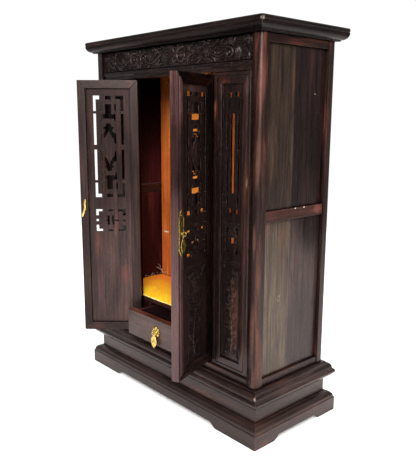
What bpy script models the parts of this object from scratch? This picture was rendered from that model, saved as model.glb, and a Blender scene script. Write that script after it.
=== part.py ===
"""Household altar cabinet: a dark hardwood shrine case on a bracket-foot plinth.

Two fretwork doors hang between fixed fretwork panels.  Behind them are a niche
with a cloth-covered shelf and one small drawer.  +X is to the right, the front
faces -Y and +Z is up.  Lengths are in metres.
"""

import math

import bmesh
import bpy
from mathutils.geometry import tessellate_polygon

MM = 0.001
GAP = 0.3 * MM

# Heights, measured from the ground.
BASE_FACE_TOP = 17.1 * MM
BASE_TOP = 25.1 * MM
WAIST_TOP = 41.2 * MM
CASE_BOTTOM = 62.9 * MM
CASE_TOP = 435.6 * MM
HEIGHT = 450.0 * MM

# Plan: half width (X) and half depth (Y).
CASE_HALF = (150.3 * MM, 60.2 * MM)
CORNICE_HALF = (149.8 * MM, 60.7 * MM)
WAIST_HALF = (152.3 * MM, 61.0 * MM)
BASE_OVERHANG = 10.2 * MM
NOSING_OVERHANG = 10.2 * MM
CORNICE_OVERHANG = 10.5 * MM

# Bracket feet.
FOOT_LENGTH_FRONT = 62.5 * MM
FOOT_LENGTH_SIDE = 31.0 * MM
FOOT_CURVE = 10.0 * MM
FOOT_LIFT = 5.6 * MM

# Case frame.
POST_WIDTH = 12.8 * MM
POST_DEPTH = 11.6 * MM
POST_ROUND = 5.0 * MM
WALL_INNER = 141.5 * MM
SIDE_RAIL_FACE = 149.2 * MM
SIDE_PANEL_FACE = 145.7 * MM
SIDE_PANEL_BACK = 142.5 * MM
SIDE_RAIL_TOP_OF_LOWEST = 71.0 * MM
SIDE_MID_RAIL = (245.0 * MM, 257.0 * MM)
SIDE_TOP_RAIL_BOTTOM = 427.0 * MM
NICHE_BACK_FACE = 40.4 * MM
NICHE_BACK_THICK = 4.5 * MM

# Front between the posts.
FRONT_FACE = -58.7 * MM
FRONT_INNER = -42.3 * MM
SILL_TOP = 69.7 * MM
SILL_BACK = -40.2 * MM
HEAD_BOTTOM = 400.8 * MM
HEAD_STEP = 405.2 * MM
FRIEZE_BOTTOM = 410.3 * MM
FRIEZE_FACE = -56.9 * MM
FRIEZE_RELIEF = 1.8 * MM
DOORWAY_HALF = 76.8 * MM
LEAF_FACE = -56.0 * MM
LEAF_THICK = 9.2 * MM
FIXED_THICK = 13.7 * MM

# Framed leaves: doors and fixed panels share these sections.
FRAME_WIDTH = 12.0 * MM
REBATE_WIDTH = 9.8 * MM
REBATE_DEPTH = 2.2 * MM
DOOR_BOARD_FRONT = 2.5 * MM
DOOR_BOARD_BACK = 5.4 * MM
BOARD_FRONT = 3.5 * MM
BOARD_BACK = 6.2 * MM
FIXED_STRIP = 5.4 * MM
BEAD_HEIGHTS = (239.0 * MM, 194.0 * MM)
BEAD_SIZE = (1.3 * MM, 1.1 * MM)
UPPER_FRET_MID = 315.1 * MM
LOWER_FRET_MID = 220.4 * MM
CARVING_SPAN = (88.0 * MM, 189.0 * MM)
CARVING_DEPTH = 1.5 * MM

# Doors.
DOOR_BOTTOM = 71.6 * MM
DOOR_TOP = 398.4 * MM
JAMB_GAP = 0.6 * MM
HINGE_INSET = 4.4 * MM
HINGE_DEPTH = 1.6 * MM
MEETING_GAP = 0.5 * MM
PIVOT_RADIUS = 1.3 * MM
PIVOT_LENGTH = 5.0 * MM
PIVOT_CLEARANCE = 0.35 * MM
LEFT_DOOR_OPEN = 132.0
RIGHT_DOOR_OPEN = 108.5
# The right leaf's fret was cut a little nearer its hinge than the left one's.
FRET_TOWARD_HINGE = {"left_door": 0.0, "right_door": 3.0 * MM}

# Shelf, drawer and their bay.
FLOOR_TOP = 71.6 * MM
SHELF_BOTTOM = 107.5 * MM
SHELF_TOP = 112.0 * MM
SHELF_FRONT = -42.0 * MM
CLOTH_PROFILE = ((-41.6, 0.0), (-41.6, 1.7), (-39.0, 2.4), (-26.0, 4.7), (-6.0, 6.7),
                 (14.0, 7.2), (39.2, 7.2), (39.2, 0.0))
BAY_CENTER = -0.8 * MM
GUIDE_INNER = 60.7 * MM
GUIDE_THICK = 5.0 * MM
GUIDE_STILE_OUTER = 80.5 * MM
DRAWER_HALF = 59.9 * MM
DRAWER_FRONT_THICK = 8.0 * MM
DRAWER_FRONT_Z = (73.4 * MM, 107.1 * MM)
DRAWER_BOX_HALF = 56.4 * MM
DRAWER_BOX_BACK = 34.0 * MM
DRAWER_BOX_TOP = 103.6 * MM
DRAWER_WALL = 4.2 * MM
DRAWER_SHUT_FACE = -38.0 * MM
DRAWER_PULLED = 40.5 * MM

# Brass.
PLATE_HALF = (4.7 * MM, 25.0 * MM)
PLATE_THICK = 0.9 * MM
PULL_HEIGHT = 235.0 * MM
PULL_FROM_EDGE = 5.3 * MM
EYE_OUT = 4.3 * MM
LOOP_BACK = 0.9 * MM
LEAF_BACK = 1.5 * MM
EYE_RADIUS = 2.1 * MM
EYE_WIRE = 0.65 * MM
LOOP_RADIUS = 1.6 * MM
LOOP_WIRE = 0.5 * MM
DROP_LENGTH = 17.0 * MM
DROP_HALF_WIDTH = 4.6 * MM
DROP_THICK = 1.1 * MM
SHANK_HALF = 1.0 * MM
LEG_THICK = 0.7 * MM
LEG_HALF = 1.35 * MM
ROSETTE_RADIUS = 7.5 * MM
ROSETTE_LOBES = 8

HINGE_X = DOORWAY_HALF - JAMB_GAP - HINGE_INSET
HINGE_Y = LEAF_FACE + HINGE_DEPTH
LEAF_WIDTH = HINGE_INSET + HINGE_X - MEETING_GAP

MATERIALS = {
    "frame_wood": ((0.055, 0.040, 0.036, 1.0), 0.42, 0.0),
    "carved_wood": ((0.060, 0.043, 0.038, 1.0), 0.48, 0.0),
    "side_board_wood": ((0.085, 0.058, 0.050, 1.0), 0.40, 0.0),
    "niche_wood": ((0.480, 0.190, 0.065, 1.0), 0.55, 0.0),
    "drawer_wood": ((0.110, 0.055, 0.042, 1.0), 0.50, 0.0),
    "cloth": ((0.860, 0.530, 0.090, 1.0), 0.95, 0.0),
    "brass": ((0.780, 0.600, 0.260, 1.0), 0.28, 1.0),
}


# ---------------------------------------------------------------- mesh helpers

class Shell:
    """The faces of one closed body; corners in the same place become one."""

    def __init__(self):
        self.corners = []
        self.faces = []
        self.index_of = {}

    def corner(self, point):
        key = tuple(round(value * 1e7) for value in point)
        if key not in self.index_of:
            self.index_of[key] = len(self.corners)
            self.corners.append(tuple(point))
        return self.index_of[key]

    def face(self, points):
        ring = []
        for point in points:
            index = self.corner(point)
            if index not in ring:
                ring.append(index)
        if len(ring) > 2:
            self.faces.append(ring)

    def band(self, loop_a, loop_b, closed=True):
        count = len(loop_a)
        for i in range(count if closed else count - 1):
            j = (i + 1) % count
            self.face((loop_a[i], loop_a[j], loop_b[j], loop_b[i]))

    def cap(self, loops, lift):
        """Fill flat loops (an outline, then holes) given as 2-D points."""
        flat = [point for loop in loops for point in loop]
        rings = [[(a, b, 0.0) for a, b in loop] for loop in loops]
        for triangle in tessellate_polygon(rings):
            self.face([lift(*flat[i]) for i in triangle])

    def sweep(self, rings):
        for ring_a, ring_b in zip(rings, rings[1:]):
            self.band(ring_a, ring_b)
        self.face(rings[0])
        self.face(rings[-1])


def material(name):
    found = bpy.data.materials.get(name)
    if found:
        return found
    color, roughness, metallic = MATERIALS[name]
    made = bpy.data.materials.new(name)
    made.use_nodes = True
    shader = made.node_tree.nodes["Principled BSDF"]
    shader.inputs["Base Color"].default_value = color
    shader.inputs["Roughness"].default_value = roughness
    shader.inputs["Metallic"].default_value = metallic
    made.diffuse_color = color
    return made


def place(shell, name, slot, parent, smooth=False):
    """Turn a shell into a named object with its faces pointing out."""
    mesh = bpy.data.meshes.new(name)
    mesh.from_pydata(shell.corners, [], shell.faces)
    work = bmesh.new()
    work.from_mesh(mesh)
    bmesh.ops.recalc_face_normals(work, faces=work.faces)
    work.to_mesh(mesh)
    work.free()
    mesh.materials.append(material(slot))
    if smooth:
        mesh.shade_smooth()
        mesh.set_sharp_from_angle(angle=math.radians(35))
    made = bpy.data.objects.new(name, mesh)
    bpy.context.collection.objects.link(made)
    made.parent = parent
    return made


def combine(target, tool, operation):
    """Cut or join a target with a tool object, which is then only a guide."""
    tool.hide_render = True
    tool.display_type = "WIRE"
    step = target.modifiers.new(operation.lower(), "BOOLEAN")
    step.operation = operation
    step.solver = "EXACT"
    step.object = tool


def empty(name, location, turn, parent):
    made = bpy.data.objects.new(name, None)
    bpy.context.collection.objects.link(made)
    made.location = location
    made.rotation_euler = (0.0, 0.0, math.radians(turn))
    made.parent = parent
    return made


def arc(center, radii, start, end, steps):
    """Points along an elliptical arc, angles in degrees."""
    points = []
    for i in range(steps + 1):
        angle = math.radians(start + (end - start) * i / steps)
        points.append((center[0] + radii[0] * math.cos(angle),
                       center[1] + radii[1] * math.sin(angle)))
    return points


def box_rings(low, high, chamfer=0.0):
    """Two rings (bottom and top) of an upright box with chamfered uprights."""
    (x0, y0, z0), (x1, y1, z1) = low, high
    if chamfer:
        c = chamfer
        plan = [(x0 + c, y0), (x1 - c, y0), (x1, y0 + c), (x1, y1 - c),
                (x1 - c, y1), (x0 + c, y1), (x0, y1 - c), (x0, y0 + c)]
    else:
        plan = [(x0, y0), (x1, y0), (x1, y1), (x0, y1)]
    return [[(x, y, z) for x, y in plan] for z in (z0, z1)]


def block(name, slot, parent, low, high):
    shell = Shell()
    shell.sweep(box_rings(low, high))
    return place(shell, name, slot, parent)


def prism(name, slot, parent, outline, lift, span):
    """Extrude a 2-D outline; lift(a, b, t) gives a point at depth t."""
    shell = Shell()
    rings = [[lift(a, b, t) for a, b in outline] for t in span]
    shell.band(*rings)
    for t in span:
        shell.cap([outline], lambda a, b, t=t: lift(a, b, t))
    return place(shell, name, slot, parent)


# ------------------------------------------------------- mitred rails round the case

SIDES = ("front", "right", "back", "left")


def around(side, half, out, along, z):
    """A point beside one side of a rectangle, out from its face."""
    half_x, half_y = half
    if side == "front":
        return (along, -half_y - out, z)
    if side == "back":
        return (-along, half_y + out, z)
    if side == "right":
        return (half_x + out, along, z)
    return (-half_x - out, -along, z)


def side_length(side, half):
    return half[0] if side in ("front", "back") else half[1]


def mitred_rails(prefix, slot, parent, half, profile, lifts=None):
    """Four rails of one profile [(out, z), ...] that meet in mitres."""
    for side in SIDES:
        reach = side_length(side, half)
        rings = [[around(side, half, out, sign * (reach + out - GAP / 2), z)
                  for out, z in profile] for sign in (-1, 1)]
        if lifts:
            rings[1:1] = [[around(side, half, out, along, max(z, lift))
                           for out, z in profile]
                          for along, lift in lifts(side, reach)]
        shell = Shell()
        shell.sweep(rings)
        place(shell, prefix + "_" + side, slot, parent)


def foot_stations(side, reach):
    """Where the underside rises between the bracket feet, and how far."""
    outer = reach + BASE_OVERHANG
    front = side in ("front", "back")
    foot = FOOT_LENGTH_FRONT if front else FOOT_LENGTH_SIDE
    start = outer - foot
    steps = 4
    rise = []
    for i in range(steps + 1):
        t = i / steps
        rise.append((start - FOOT_CURVE * t, FOOT_LIFT * t * t * (3 - 2 * t)))
    return [(-a, lift) for a, lift in rise] + [(a, lift) for a, lift in reversed(rise)]


def build_base(parent):
    ovolo = arc((1.2 * MM, 17.4 * MM), (7.9 * MM, 7.1 * MM), 0, 90, 5)
    profile = [(-14.0 * MM, 0.0), (BASE_OVERHANG, 0.0), (BASE_OVERHANG, 16.2 * MM),
               (9.1 * MM, BASE_FACE_TOP)]
    profile += ovolo
    profile += [(1.2 * MM, BASE_TOP - GAP), (-14.0 * MM, BASE_TOP - GAP)]
    mitred_rails("base", "frame_wood", parent, WAIST_HALF, profile, foot_stations)


def build_waist(parent):
    profile = [(-12.0 * MM, BASE_TOP), (0.0, BASE_TOP), (0.0, WAIST_TOP),
               (-12.0 * MM, WAIST_TOP)]
    mitred_rails("waist", "frame_wood", parent, WAIST_HALF, profile)


def build_nosing(parent):
    nose = arc((6.6 * MM, 50.4 * MM), (3.6 * MM, 3.4 * MM), -60, 75, 5)
    cove = arc((1.6 * MM, 54.6 * MM), (5.6 * MM, 6.6 * MM), 0, 90, 4)
    profile = [(-16.0 * MM, WAIST_TOP + GAP), (0.8 * MM, WAIST_TOP + GAP),
               (3.4 * MM, 42.9 * MM), (6.2 * MM, 45.0 * MM)]
    profile += nose
    profile += cove
    profile += [(1.2 * MM, CASE_BOTTOM - GAP), (-16.0 * MM, CASE_BOTTOM - GAP)]
    mitred_rails("nosing", "frame_wood", parent, WAIST_HALF, profile)


def build_cornice(parent):
    bottom = CASE_TOP + GAP
    ovolo = arc((3.9 * MM, 445.0 * MM), (6.6 * MM, 7.8 * MM), -88, 0, 6)
    profile = [(-30.0 * MM, bottom), (3.4 * MM, bottom), (3.4 * MM, 437.0 * MM)]
    profile += ovolo
    profile += [(10.0 * MM, 445.4 * MM), (10.0 * MM, 446.0 * MM),
                (CORNICE_OVERHANG, 446.4 * MM), (CORNICE_OVERHANG, 448.2 * MM)]
    profile += arc((8.7 * MM, 448.2 * MM), (1.8 * MM, 1.8 * MM), 30, 90, 2)
    profile += [(-30.0 * MM, HEIGHT)]
    mitred_rails("cornice", "frame_wood", parent, CORNICE_HALF, profile)
    reach_x = CORNICE_HALF[0] - 30.3 * MM
    reach_y = CORNICE_HALF[1] - 30.3 * MM
    block("top_panel", "frame_wood", parent, (-reach_x, -reach_y, bottom + 2.0 * MM),
          (reach_x, reach_y, HEIGHT - 0.8 * MM))


# ------------------------------------------------------------------------- case

def build_posts(parent):
    reach_x, reach_y = CASE_HALF
    inner_x, inner_y = reach_x - POST_WIDTH, reach_y - POST_DEPTH
    corner = arc((reach_x - POST_ROUND, reach_y - POST_ROUND),
                 (POST_ROUND, POST_ROUND), 0, 90, 5)
    plan = [(inner_x, inner_y), (reach_x, inner_y)] + corner + [(inner_x, reach_y)]
    for name, sx, sy in (("front_right", 1, -1), ("back_right", 1, 1),
                         ("back_left", -1, 1), ("front_left", -1, -1)):
        shell = Shell()
        shell.sweep([[(sx * x, sy * y, z) for x, y in plan]
                     for z in (CASE_BOTTOM, CASE_TOP)])
        place(shell, "post_" + name, "frame_wood", parent, smooth=True)


def build_sides(parent):
    reach_y = CASE_HALF[1] - POST_DEPTH - GAP
    levels = (("bottom", CASE_BOTTOM, SIDE_RAIL_TOP_OF_LOWEST),
              ("middle", SIDE_MID_RAIL[0], SIDE_MID_RAIL[1]),
              ("top", SIDE_TOP_RAIL_BOTTOM, CASE_TOP))
    fields = (("lower", SIDE_RAIL_TOP_OF_LOWEST, SIDE_MID_RAIL[0]),
              ("upper", SIDE_MID_RAIL[1], SIDE_TOP_RAIL_BOTTOM))
    for side, sign in (("left", -1), ("right", 1)):
        for level, low, high in levels:
            x_pair = sorted((sign * WALL_INNER, sign * SIDE_RAIL_FACE))
            block("side_rail_{}_{}".format(side, level), "frame_wood", parent,
                  (x_pair[0], -reach_y, low), (x_pair[1], reach_y, high))
        for level, low, high in fields:
            x_pair = sorted((sign * SIDE_PANEL_BACK, sign * SIDE_PANEL_FACE))
            block("side_board_{}_{}".format(side, level), "side_board_wood", parent,
                  (x_pair[0], -reach_y, low + GAP), (x_pair[1], reach_y, high - GAP))


def build_back(parent):
    reach = WALL_INNER - GAP
    back = NICHE_BACK_FACE + NICHE_BACK_THICK
    block("niche_back", "niche_wood", parent, (-reach, NICHE_BACK_FACE, FLOOR_TOP + GAP),
          (reach, back, CASE_TOP))
    half = CASE_HALF[0] - POST_WIDTH - GAP
    outer = (-half, half, CASE_BOTTOM, CASE_TOP)
    depth = CASE_HALF[1] - 0.5 * MM
    steps = [(0.0, 0.0), (14.0 * MM, 0.0), (14.5 * MM, 3.6 * MM)]
    shell = Shell()
    inside = depth - back - 3.5 * MM
    framed_board(shell, lambda u, z, d: (u, depth - d, z), outer, outer, steps,
                 [(6.0 * MM, inside), (5.0 * MM, inside)], [], [])
    place(shell, "back_frame", "frame_wood", parent)


def build_floor_and_shelf(parent):
    reach = WALL_INNER - GAP
    block("case_floor", "frame_wood", parent,
          (-reach, SILL_BACK + GAP, CASE_BOTTOM), (reach, 46.0 * MM, FLOOR_TOP))
    back = NICHE_BACK_FACE - GAP
    block("shelf", "drawer_wood", parent, (-reach, SHELF_FRONT, SHELF_BOTTOM),
          (reach, back, SHELF_TOP))
    edge = reach - 0.9 * MM
    prism("altar_cloth", "cloth", parent, CLOTH_PROFILE,
          lambda a, b, t: (t, a * MM, SHELF_TOP + GAP + b * MM), (-edge, edge))


# ---------------------------------------------------------------------- relief

def bump(distance, width):
    """A rounded ridge: 1 on its line, 0 beyond its width."""
    t = min(abs(distance) / width, 1.0)
    return 0.5 + 0.5 * math.cos(math.pi * t)


def frieze_relief(x, z):
    """Running cloud scroll: a wavy stem with a curl in every bend."""
    pitch = 34.0 * MM
    swing = 5.0 * MM
    phase = 2 * math.pi * x / pitch
    height = bump(z - swing * math.sin(phase), 2.6 * MM)
    nearest = round(x / (pitch / 2) - 0.5)
    for k in (nearest - 1, nearest, nearest + 1):
        up = -1 if k % 2 == 0 else 1
        from_x = x - (k + 0.5) * pitch / 2
        from_z = z - up * 4.5 * MM
        radius = math.hypot(from_x, from_z)
        height = max(height, bump(radius - 4.6 * MM, 2.3 * MM), 0.9 * bump(radius, 2.2 * MM))
    return height


def plant_relief(u, v):
    """A flowering stem, u across and v from 0 at the foot to 1 at the top."""
    stem = 1.6 * MM * math.sin(7.0 * v)
    height = 0.6 * bump(u - stem, 1.8 * MM) if 0.04 < v < 0.8 else 0.0
    length = CARVING_SPAN[1] - CARVING_SPAN[0]
    leaves = 6
    for k in range(leaves):
        side = 1 if k % 2 else -1
        along = (v - 0.10 - 0.115 * k) * length
        across = side * (u - stem)
        lean = along - 0.7 * across
        if across > -1.0 * MM:
            reach = bump(across - 4.5 * MM, 5.5 * MM)
            height = max(height, 0.9 * reach * bump(lean, 4.2 * MM))
    bloom = math.hypot(u, (v - 0.86) * length)
    petals = 6.2 * MM * (1.0 + 0.12 * math.cos(5 * math.atan2(u, (v - 0.86) * length)))
    return max(height, bump(bloom, petals * 1.25))


def relief_patch(low, high, cells, height_at, depth):
    """A grid (a, b, raise) whose rim stays flush; raise is outward."""
    (a0, b0), (a1, b1) = low, high
    across, up = cells
    rows = []
    for j in range(up + 1):
        row = []
        for i in range(across + 1):
            a = a0 + (a1 - a0) * i / across
            b = b0 + (b1 - b0) * j / up
            rim = i in (0, across) or j in (0, up)
            row.append((a, b, 0.0 if rim else depth * height_at(a, b)))
        rows.append(row)
    return rows


def bead_patch(a0, a1, middle, half, depth):
    """A thin raised strip, as a relief patch with steep sides."""
    side = 0.3 * MM
    across = (a0, a0 + side, a1 - side, a1)
    up = (middle - half, middle - half + side, middle + half - side, middle + half)
    return [[(a, b, depth if 0 < i < 3 and 0 < j < 3 else 0.0)
             for i, a in enumerate(across)] for j, b in enumerate(up)]


def patch_rim(rows):
    rim = [(a, b) for a, b, _ in rows[0]]
    rim += [(row[-1][0], row[-1][1]) for row in rows[1:]]
    rim += [(a, b) for a, b, _ in reversed(rows[-1][:-1])]
    rim += [(row[0][0], row[0][1]) for row in reversed(rows[1:-1])]
    return rim


def rectangle(a0, a1, b0, b1):
    return [(a0, b0), (a1, b0), (a1, b1), (a0, b1)]


def fill_board(shell, lift, outline, front, back, holes, patches):
    """Front and back faces of a board with holes and raised patches."""
    rims = [patch_rim(rows) for rows in patches]
    shell.cap([outline] + holes + rims, lambda a, b: lift(a, b, front))
    for hole in holes:
        shell.band([lift(a, b, front) for a, b in hole], [lift(a, b, back) for a, b in hole])
    for rows in patches:
        for low, high in zip(rows, rows[1:]):
            shell.band([lift(a, b, front - r) for a, b, r in low],
                       [lift(a, b, front - r) for a, b, r in high], closed=False)


def inset_rectangle(frame, inset):
    a0, a1, b0, b1 = frame
    return rectangle(a0 + inset, a1 - inset, b0 + inset, b1 - inset)


def framed_board(shell, lift, outer, frame, steps, back_steps, holes, patches):
    """A board set in a frame; steps are (inset, depth) from the frame's edge.

    The front steps run inward from the frame and the back steps return to
    the outer rim; the board lies between their two inmost steps.
    """
    rim = rectangle(*outer)
    loops = [[lift(a, b, back_steps[-1][1]) for a, b in rim],
             [lift(a, b, steps[0][1]) for a, b in rim]]
    loops += [[lift(a, b, depth) for a, b in inset_rectangle(frame, inset)]
              for inset, depth in steps]
    for loop_a, loop_b in zip(loops, loops[1:]):
        shell.band(loop_a, loop_b)
    fill_board(shell, lift, inset_rectangle(frame, steps[-1][0]), steps[-1][1],
               back_steps[0][1], holes, patches)
    behind = [inset_rectangle(frame, inset) for inset, _ in back_steps]
    shell.cap([behind[0]] + holes, lambda a, b: lift(a, b, back_steps[0][1]))
    loops = [[lift(a, b, depth) for a, b in loop]
             for loop, (_, depth) in zip(behind, back_steps)]
    for loop_a, loop_b in zip(loops, loops[1:]):
        shell.band(loop_a, loop_b)
    shell.cap([rim, behind[-1]], lambda a, b: lift(a, b, back_steps[-1][1]))


# -------------------------------------------------------------------- fretwork

def mirrored(shapes, across, up):
    """Repeat outlines mirrored left-right and/or top-bottom about 0."""
    found = []
    for shape in shapes:
        for sx in ((1, -1) if across else (1,)):
            for sz in ((1, -1) if up else (1,)):
                found.append([(sx * a, sz * b) for a, b in shape])
    return found


def moved(shapes, a, b):
    return [[(a + x * MM, b + z * MM) for x, z in shape] for shape in shapes]


def tall_door_fret():
    """Openings of the tall door fret, in millimetres from its middle."""
    corner = [(9.3, 59.9), (15.6, 59.9), (15.6, 45.5), (19.3, 45.5), (19.3, 64.5), (9.3, 64.5)]
    small_slot = rectangle(7.8, 10.2, 45.5, 54.0)
    side_slot = rectangle(15.6, 19.3, 3.0, 42.2)
    tee = [(-4.0, 54.0), (-4.0, 41.8), (-9.4, 41.8), (-9.4, 32.3), (-7.2, 32.3),
           (-7.2, 35.8), (7.2, 35.8), (7.2, 32.3), (9.4, 32.3), (9.4, 41.8),
           (4.0, 41.8), (4.0, 54.0)]
    half_bat = [(3.0, 30.5), (3.4, 26.6), (6.6, 25.8), (6.8, 23.8), (4.4, 22.4),
                (6.2, 18.5), (9.4, 17.6), (9.4, 4.5), (7.0, 4.5), (6.2, 10.8),
                (3.4, 13.5), (0.0, 21.0)]
    bat = half_bat + [(-a, b) for a, b in reversed(half_bat[:-1])]
    middle_slot = rectangle(-4.0, 4.0, 59.6, 64.3)
    shapes = mirrored([corner, small_slot, side_slot], True, True)
    return shapes + mirrored([tee, bat, middle_slot], False, True)


def square_door_fret():
    corner = [(9.5, 11.6), (15.8, 11.6), (15.8, 6.2), (19.4, 6.2), (19.4, 14.6), (9.5, 14.6)]
    heart = [(1.6, -6.0), (4.6, -6.0), (4.6, -0.9), (10.0, -0.9), (10.0, 0.9),
             (4.6, 0.9), (4.6, 6.5), (1.6, 6.5)]
    shapes = mirrored([corner], True, True)
    shapes += mirrored([rectangle(15.8, 19.4, -1.6, 1.6), heart], True, False)
    return shapes + mirrored([rectangle(-3.2, 3.2, 12.2, 14.4)], False, True)


def tall_fixed_fret():
    shapes = mirrored([rectangle(2.0, 8.2, 59.4, 64.4), rectangle(6.8, 8.8, 46.0, 57.0),
                       rectangle(7.2, 9.4, 4.2, 42.6)], True, True)
    return shapes + [rectangle(-3.6, 2.0, -42.6, 42.6)]


def square_fixed_fret():
    corner = [(4.4, 11.8), (6.6, 11.8), (6.6, 6.4), (9.4, 6.4), (9.4, 14.4), (4.4, 14.4)]
    shapes = mirrored([corner], True, True)
    shapes += mirrored([rectangle(6.8, 9.4, -1.6, 1.6)], True, False)
    return shapes + [rectangle(-3.2, 3.2, -3.4, 3.4)]


def leaf_patches(middle, half_bead, half_carving, cells):
    patches = [bead_patch(middle - half_bead, middle + half_bead, z, *BEAD_SIZE)
               for z in BEAD_HEIGHTS]
    low, high = CARVING_SPAN
    carving = relief_patch((middle - half_carving, low), (middle + half_carving, high), cells,
                           lambda a, b: plant_relief(a - middle, (b - low) / (high - low)),
                           CARVING_DEPTH)
    return patches + [carving]


FRAME_STEPS = [(0.0, 0.4), (0.4, 0.0), (3.6, 0.0), (4.0, 0.8), (4.7, 0.8), (5.1, 0.1),
               (7.6, -0.3), (10.2, 0.3), (11.6, 0.8), (12.0, 1.3)]


def frame_steps():
    """Moulded frame section from its outer edge in, as (inset, depth)."""
    return [(inset * MM, (depth + 0.3) * MM) for inset, depth in FRAME_STEPS]


# ----------------------------------------------------------------- front parts

def build_front(parent):
    half = CASE_HALF[0] - POST_WIDTH - GAP
    soft = 0.6 * MM
    profiles = {
        "sill": [(SILL_BACK, CASE_BOTTOM), (FRONT_FACE, CASE_BOTTOM),
                 (FRONT_FACE, SILL_TOP - soft), (FRONT_FACE + soft, SILL_TOP),
                 (SILL_BACK, SILL_TOP)],
        "head_rail": [(FRONT_INNER, HEAD_BOTTOM), (FRONT_FACE + 1.6 * MM, HEAD_BOTTOM),
                      (FRONT_FACE + 1.6 * MM, HEAD_STEP), (FRONT_FACE + soft, HEAD_STEP),
                      (FRONT_FACE, HEAD_STEP + soft), (FRONT_FACE, FRIEZE_BOTTOM - GAP - soft),
                      (FRONT_FACE + soft, FRIEZE_BOTTOM - GAP),
                      (FRONT_INNER, FRIEZE_BOTTOM - GAP)],
    }
    for name, profile in profiles.items():
        shell = Shell()
        shell.sweep([[(x, y, z) for y, z in profile] for x in (-half, half)])
        rail = place(shell, name, "frame_wood", parent)
        for sign in (-1, 1):
            combine(rail, pivot_hole(name, sign, parent), "DIFFERENCE")

    shell = Shell()
    margin = 1.4 * MM
    outline = (-half, half, FRIEZE_BOTTOM, CASE_TOP)
    middle = (FRIEZE_BOTTOM + CASE_TOP) / 2
    carving = relief_patch((-half + margin, FRIEZE_BOTTOM + margin),
                           (half - margin, CASE_TOP - margin), (72, 7),
                           lambda a, b: frieze_relief(a, b - middle), FRIEZE_RELIEF)
    thick = FRONT_INNER - FRIEZE_FACE
    framed_board(shell, lambda u, z, d: (u, FRIEZE_FACE + d, z), outline, outline,
                 [(0.0, 0.0)], [(2.0 * MM, thick), (1.0 * MM, thick)], [], [carving])
    place(shell, "frieze", "carved_wood", parent)


def build_fixed_panels(parent):
    inner_edge = CASE_HALF[0] - POST_WIDTH - GAP
    frame_edge = inner_edge - FIXED_STRIP
    low, high = SILL_TOP + GAP, HEAD_BOTTOM - GAP
    middle = (DOORWAY_HALF + frame_edge) / 2
    for side, sign in (("left", -1), ("right", 1)):
        holes = moved(tall_fixed_fret(), middle, UPPER_FRET_MID)
        holes += moved(square_fixed_fret(), middle, LOWER_FRET_MID)
        patches = leaf_patches(middle, 12.5 * MM, 10.0 * MM, (8, 22))
        steps = frame_steps() + [(FRAME_WIDTH, BOARD_FRONT)]
        shell = Shell()
        framed_board(shell, lambda u, z, d, sign=sign: (sign * u, LEAF_FACE + d, z),
                     (DOORWAY_HALF, inner_edge, low, high),
                     (DOORWAY_HALF, frame_edge, low, high), steps,
                     [(REBATE_WIDTH, BOARD_BACK), (REBATE_WIDTH, FIXED_THICK)],
                     holes, patches)
        place(shell, "fixed_panel_" + side, "carved_wood", parent)


# ----------------------------------------------------------------------- doors

def upright_pin(name, parent, center, radius, span, sides=12):
    shell = Shell()
    shell.sweep([[(a, b, z) for a, b in arc(center, (radius, radius), 0, 360, sides)[:-1]]
                 for z in span])
    return place(shell, name, "frame_wood", parent)


def pivot_hole(name, sign, parent):
    """A blind hole in the sill or head rail for a door's pivot."""
    reach = PIVOT_LENGTH + PIVOT_CLEARANCE
    if name == "sill":
        span = (DOOR_BOTTOM - reach, SILL_TOP + 1.0 * MM)
    else:
        span = (HEAD_BOTTOM - 1.0 * MM, DOOR_TOP + reach)
    return upright_pin("{}_hole_{}".format(name, sign), parent, (sign * HINGE_X, HINGE_Y),
                       PIVOT_RADIUS + PIVOT_CLEARANCE, span)


def door_members(prefix, lift, hinge):
    """Two stiles and two rails, rebated for the board and mitred."""
    section = frame_steps()
    section += [(FRAME_WIDTH, REBATE_DEPTH), (REBATE_WIDTH, REBATE_DEPTH),
                (REBATE_WIDTH, LEAF_THICK), (0.0, LEAF_THICK)]
    a0, a1, b0, b1 = 0.0, LEAF_WIDTH, DOOR_BOTTOM, DOOR_TOP
    trim = 0.22 * MM
    runs = {
        "hinge_stile": lambda i, end: (a0 + i, b0 + i + trim if end else b1 - i - trim),
        "meeting_stile": lambda i, end: (a1 - i, b0 + i + trim if end else b1 - i - trim),
        "bottom_rail": lambda i, end: (a0 + i + trim if end else a1 - i - trim, b0 + i),
        "top_rail": lambda i, end: (a0 + i + trim if end else a1 - i - trim, b1 - i),
    }
    made = {}
    for name, corner in runs.items():
        rings = []
        for end in (0, 1):
            rings.append([lift(*corner(inset, end), depth) for inset, depth in section])
        shell = Shell()
        shell.sweep(rings)
        made[name] = place(shell, prefix + "_" + name, "frame_wood", hinge)
    overlap = 2.0 * MM
    for level, span in (("low", (DOOR_BOTTOM - PIVOT_LENGTH, DOOR_BOTTOM + overlap)),
                        ("high", (DOOR_TOP - overlap, DOOR_TOP + PIVOT_LENGTH))):
        pin = upright_pin("{}_pivot_{}".format(prefix, level), hinge, (0.0, 0.0),
                          PIVOT_RADIUS, span)
        rail = "bottom_rail" if level == "low" else "top_rail"
        combine(made[rail], pin, "UNION")
    return made


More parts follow.
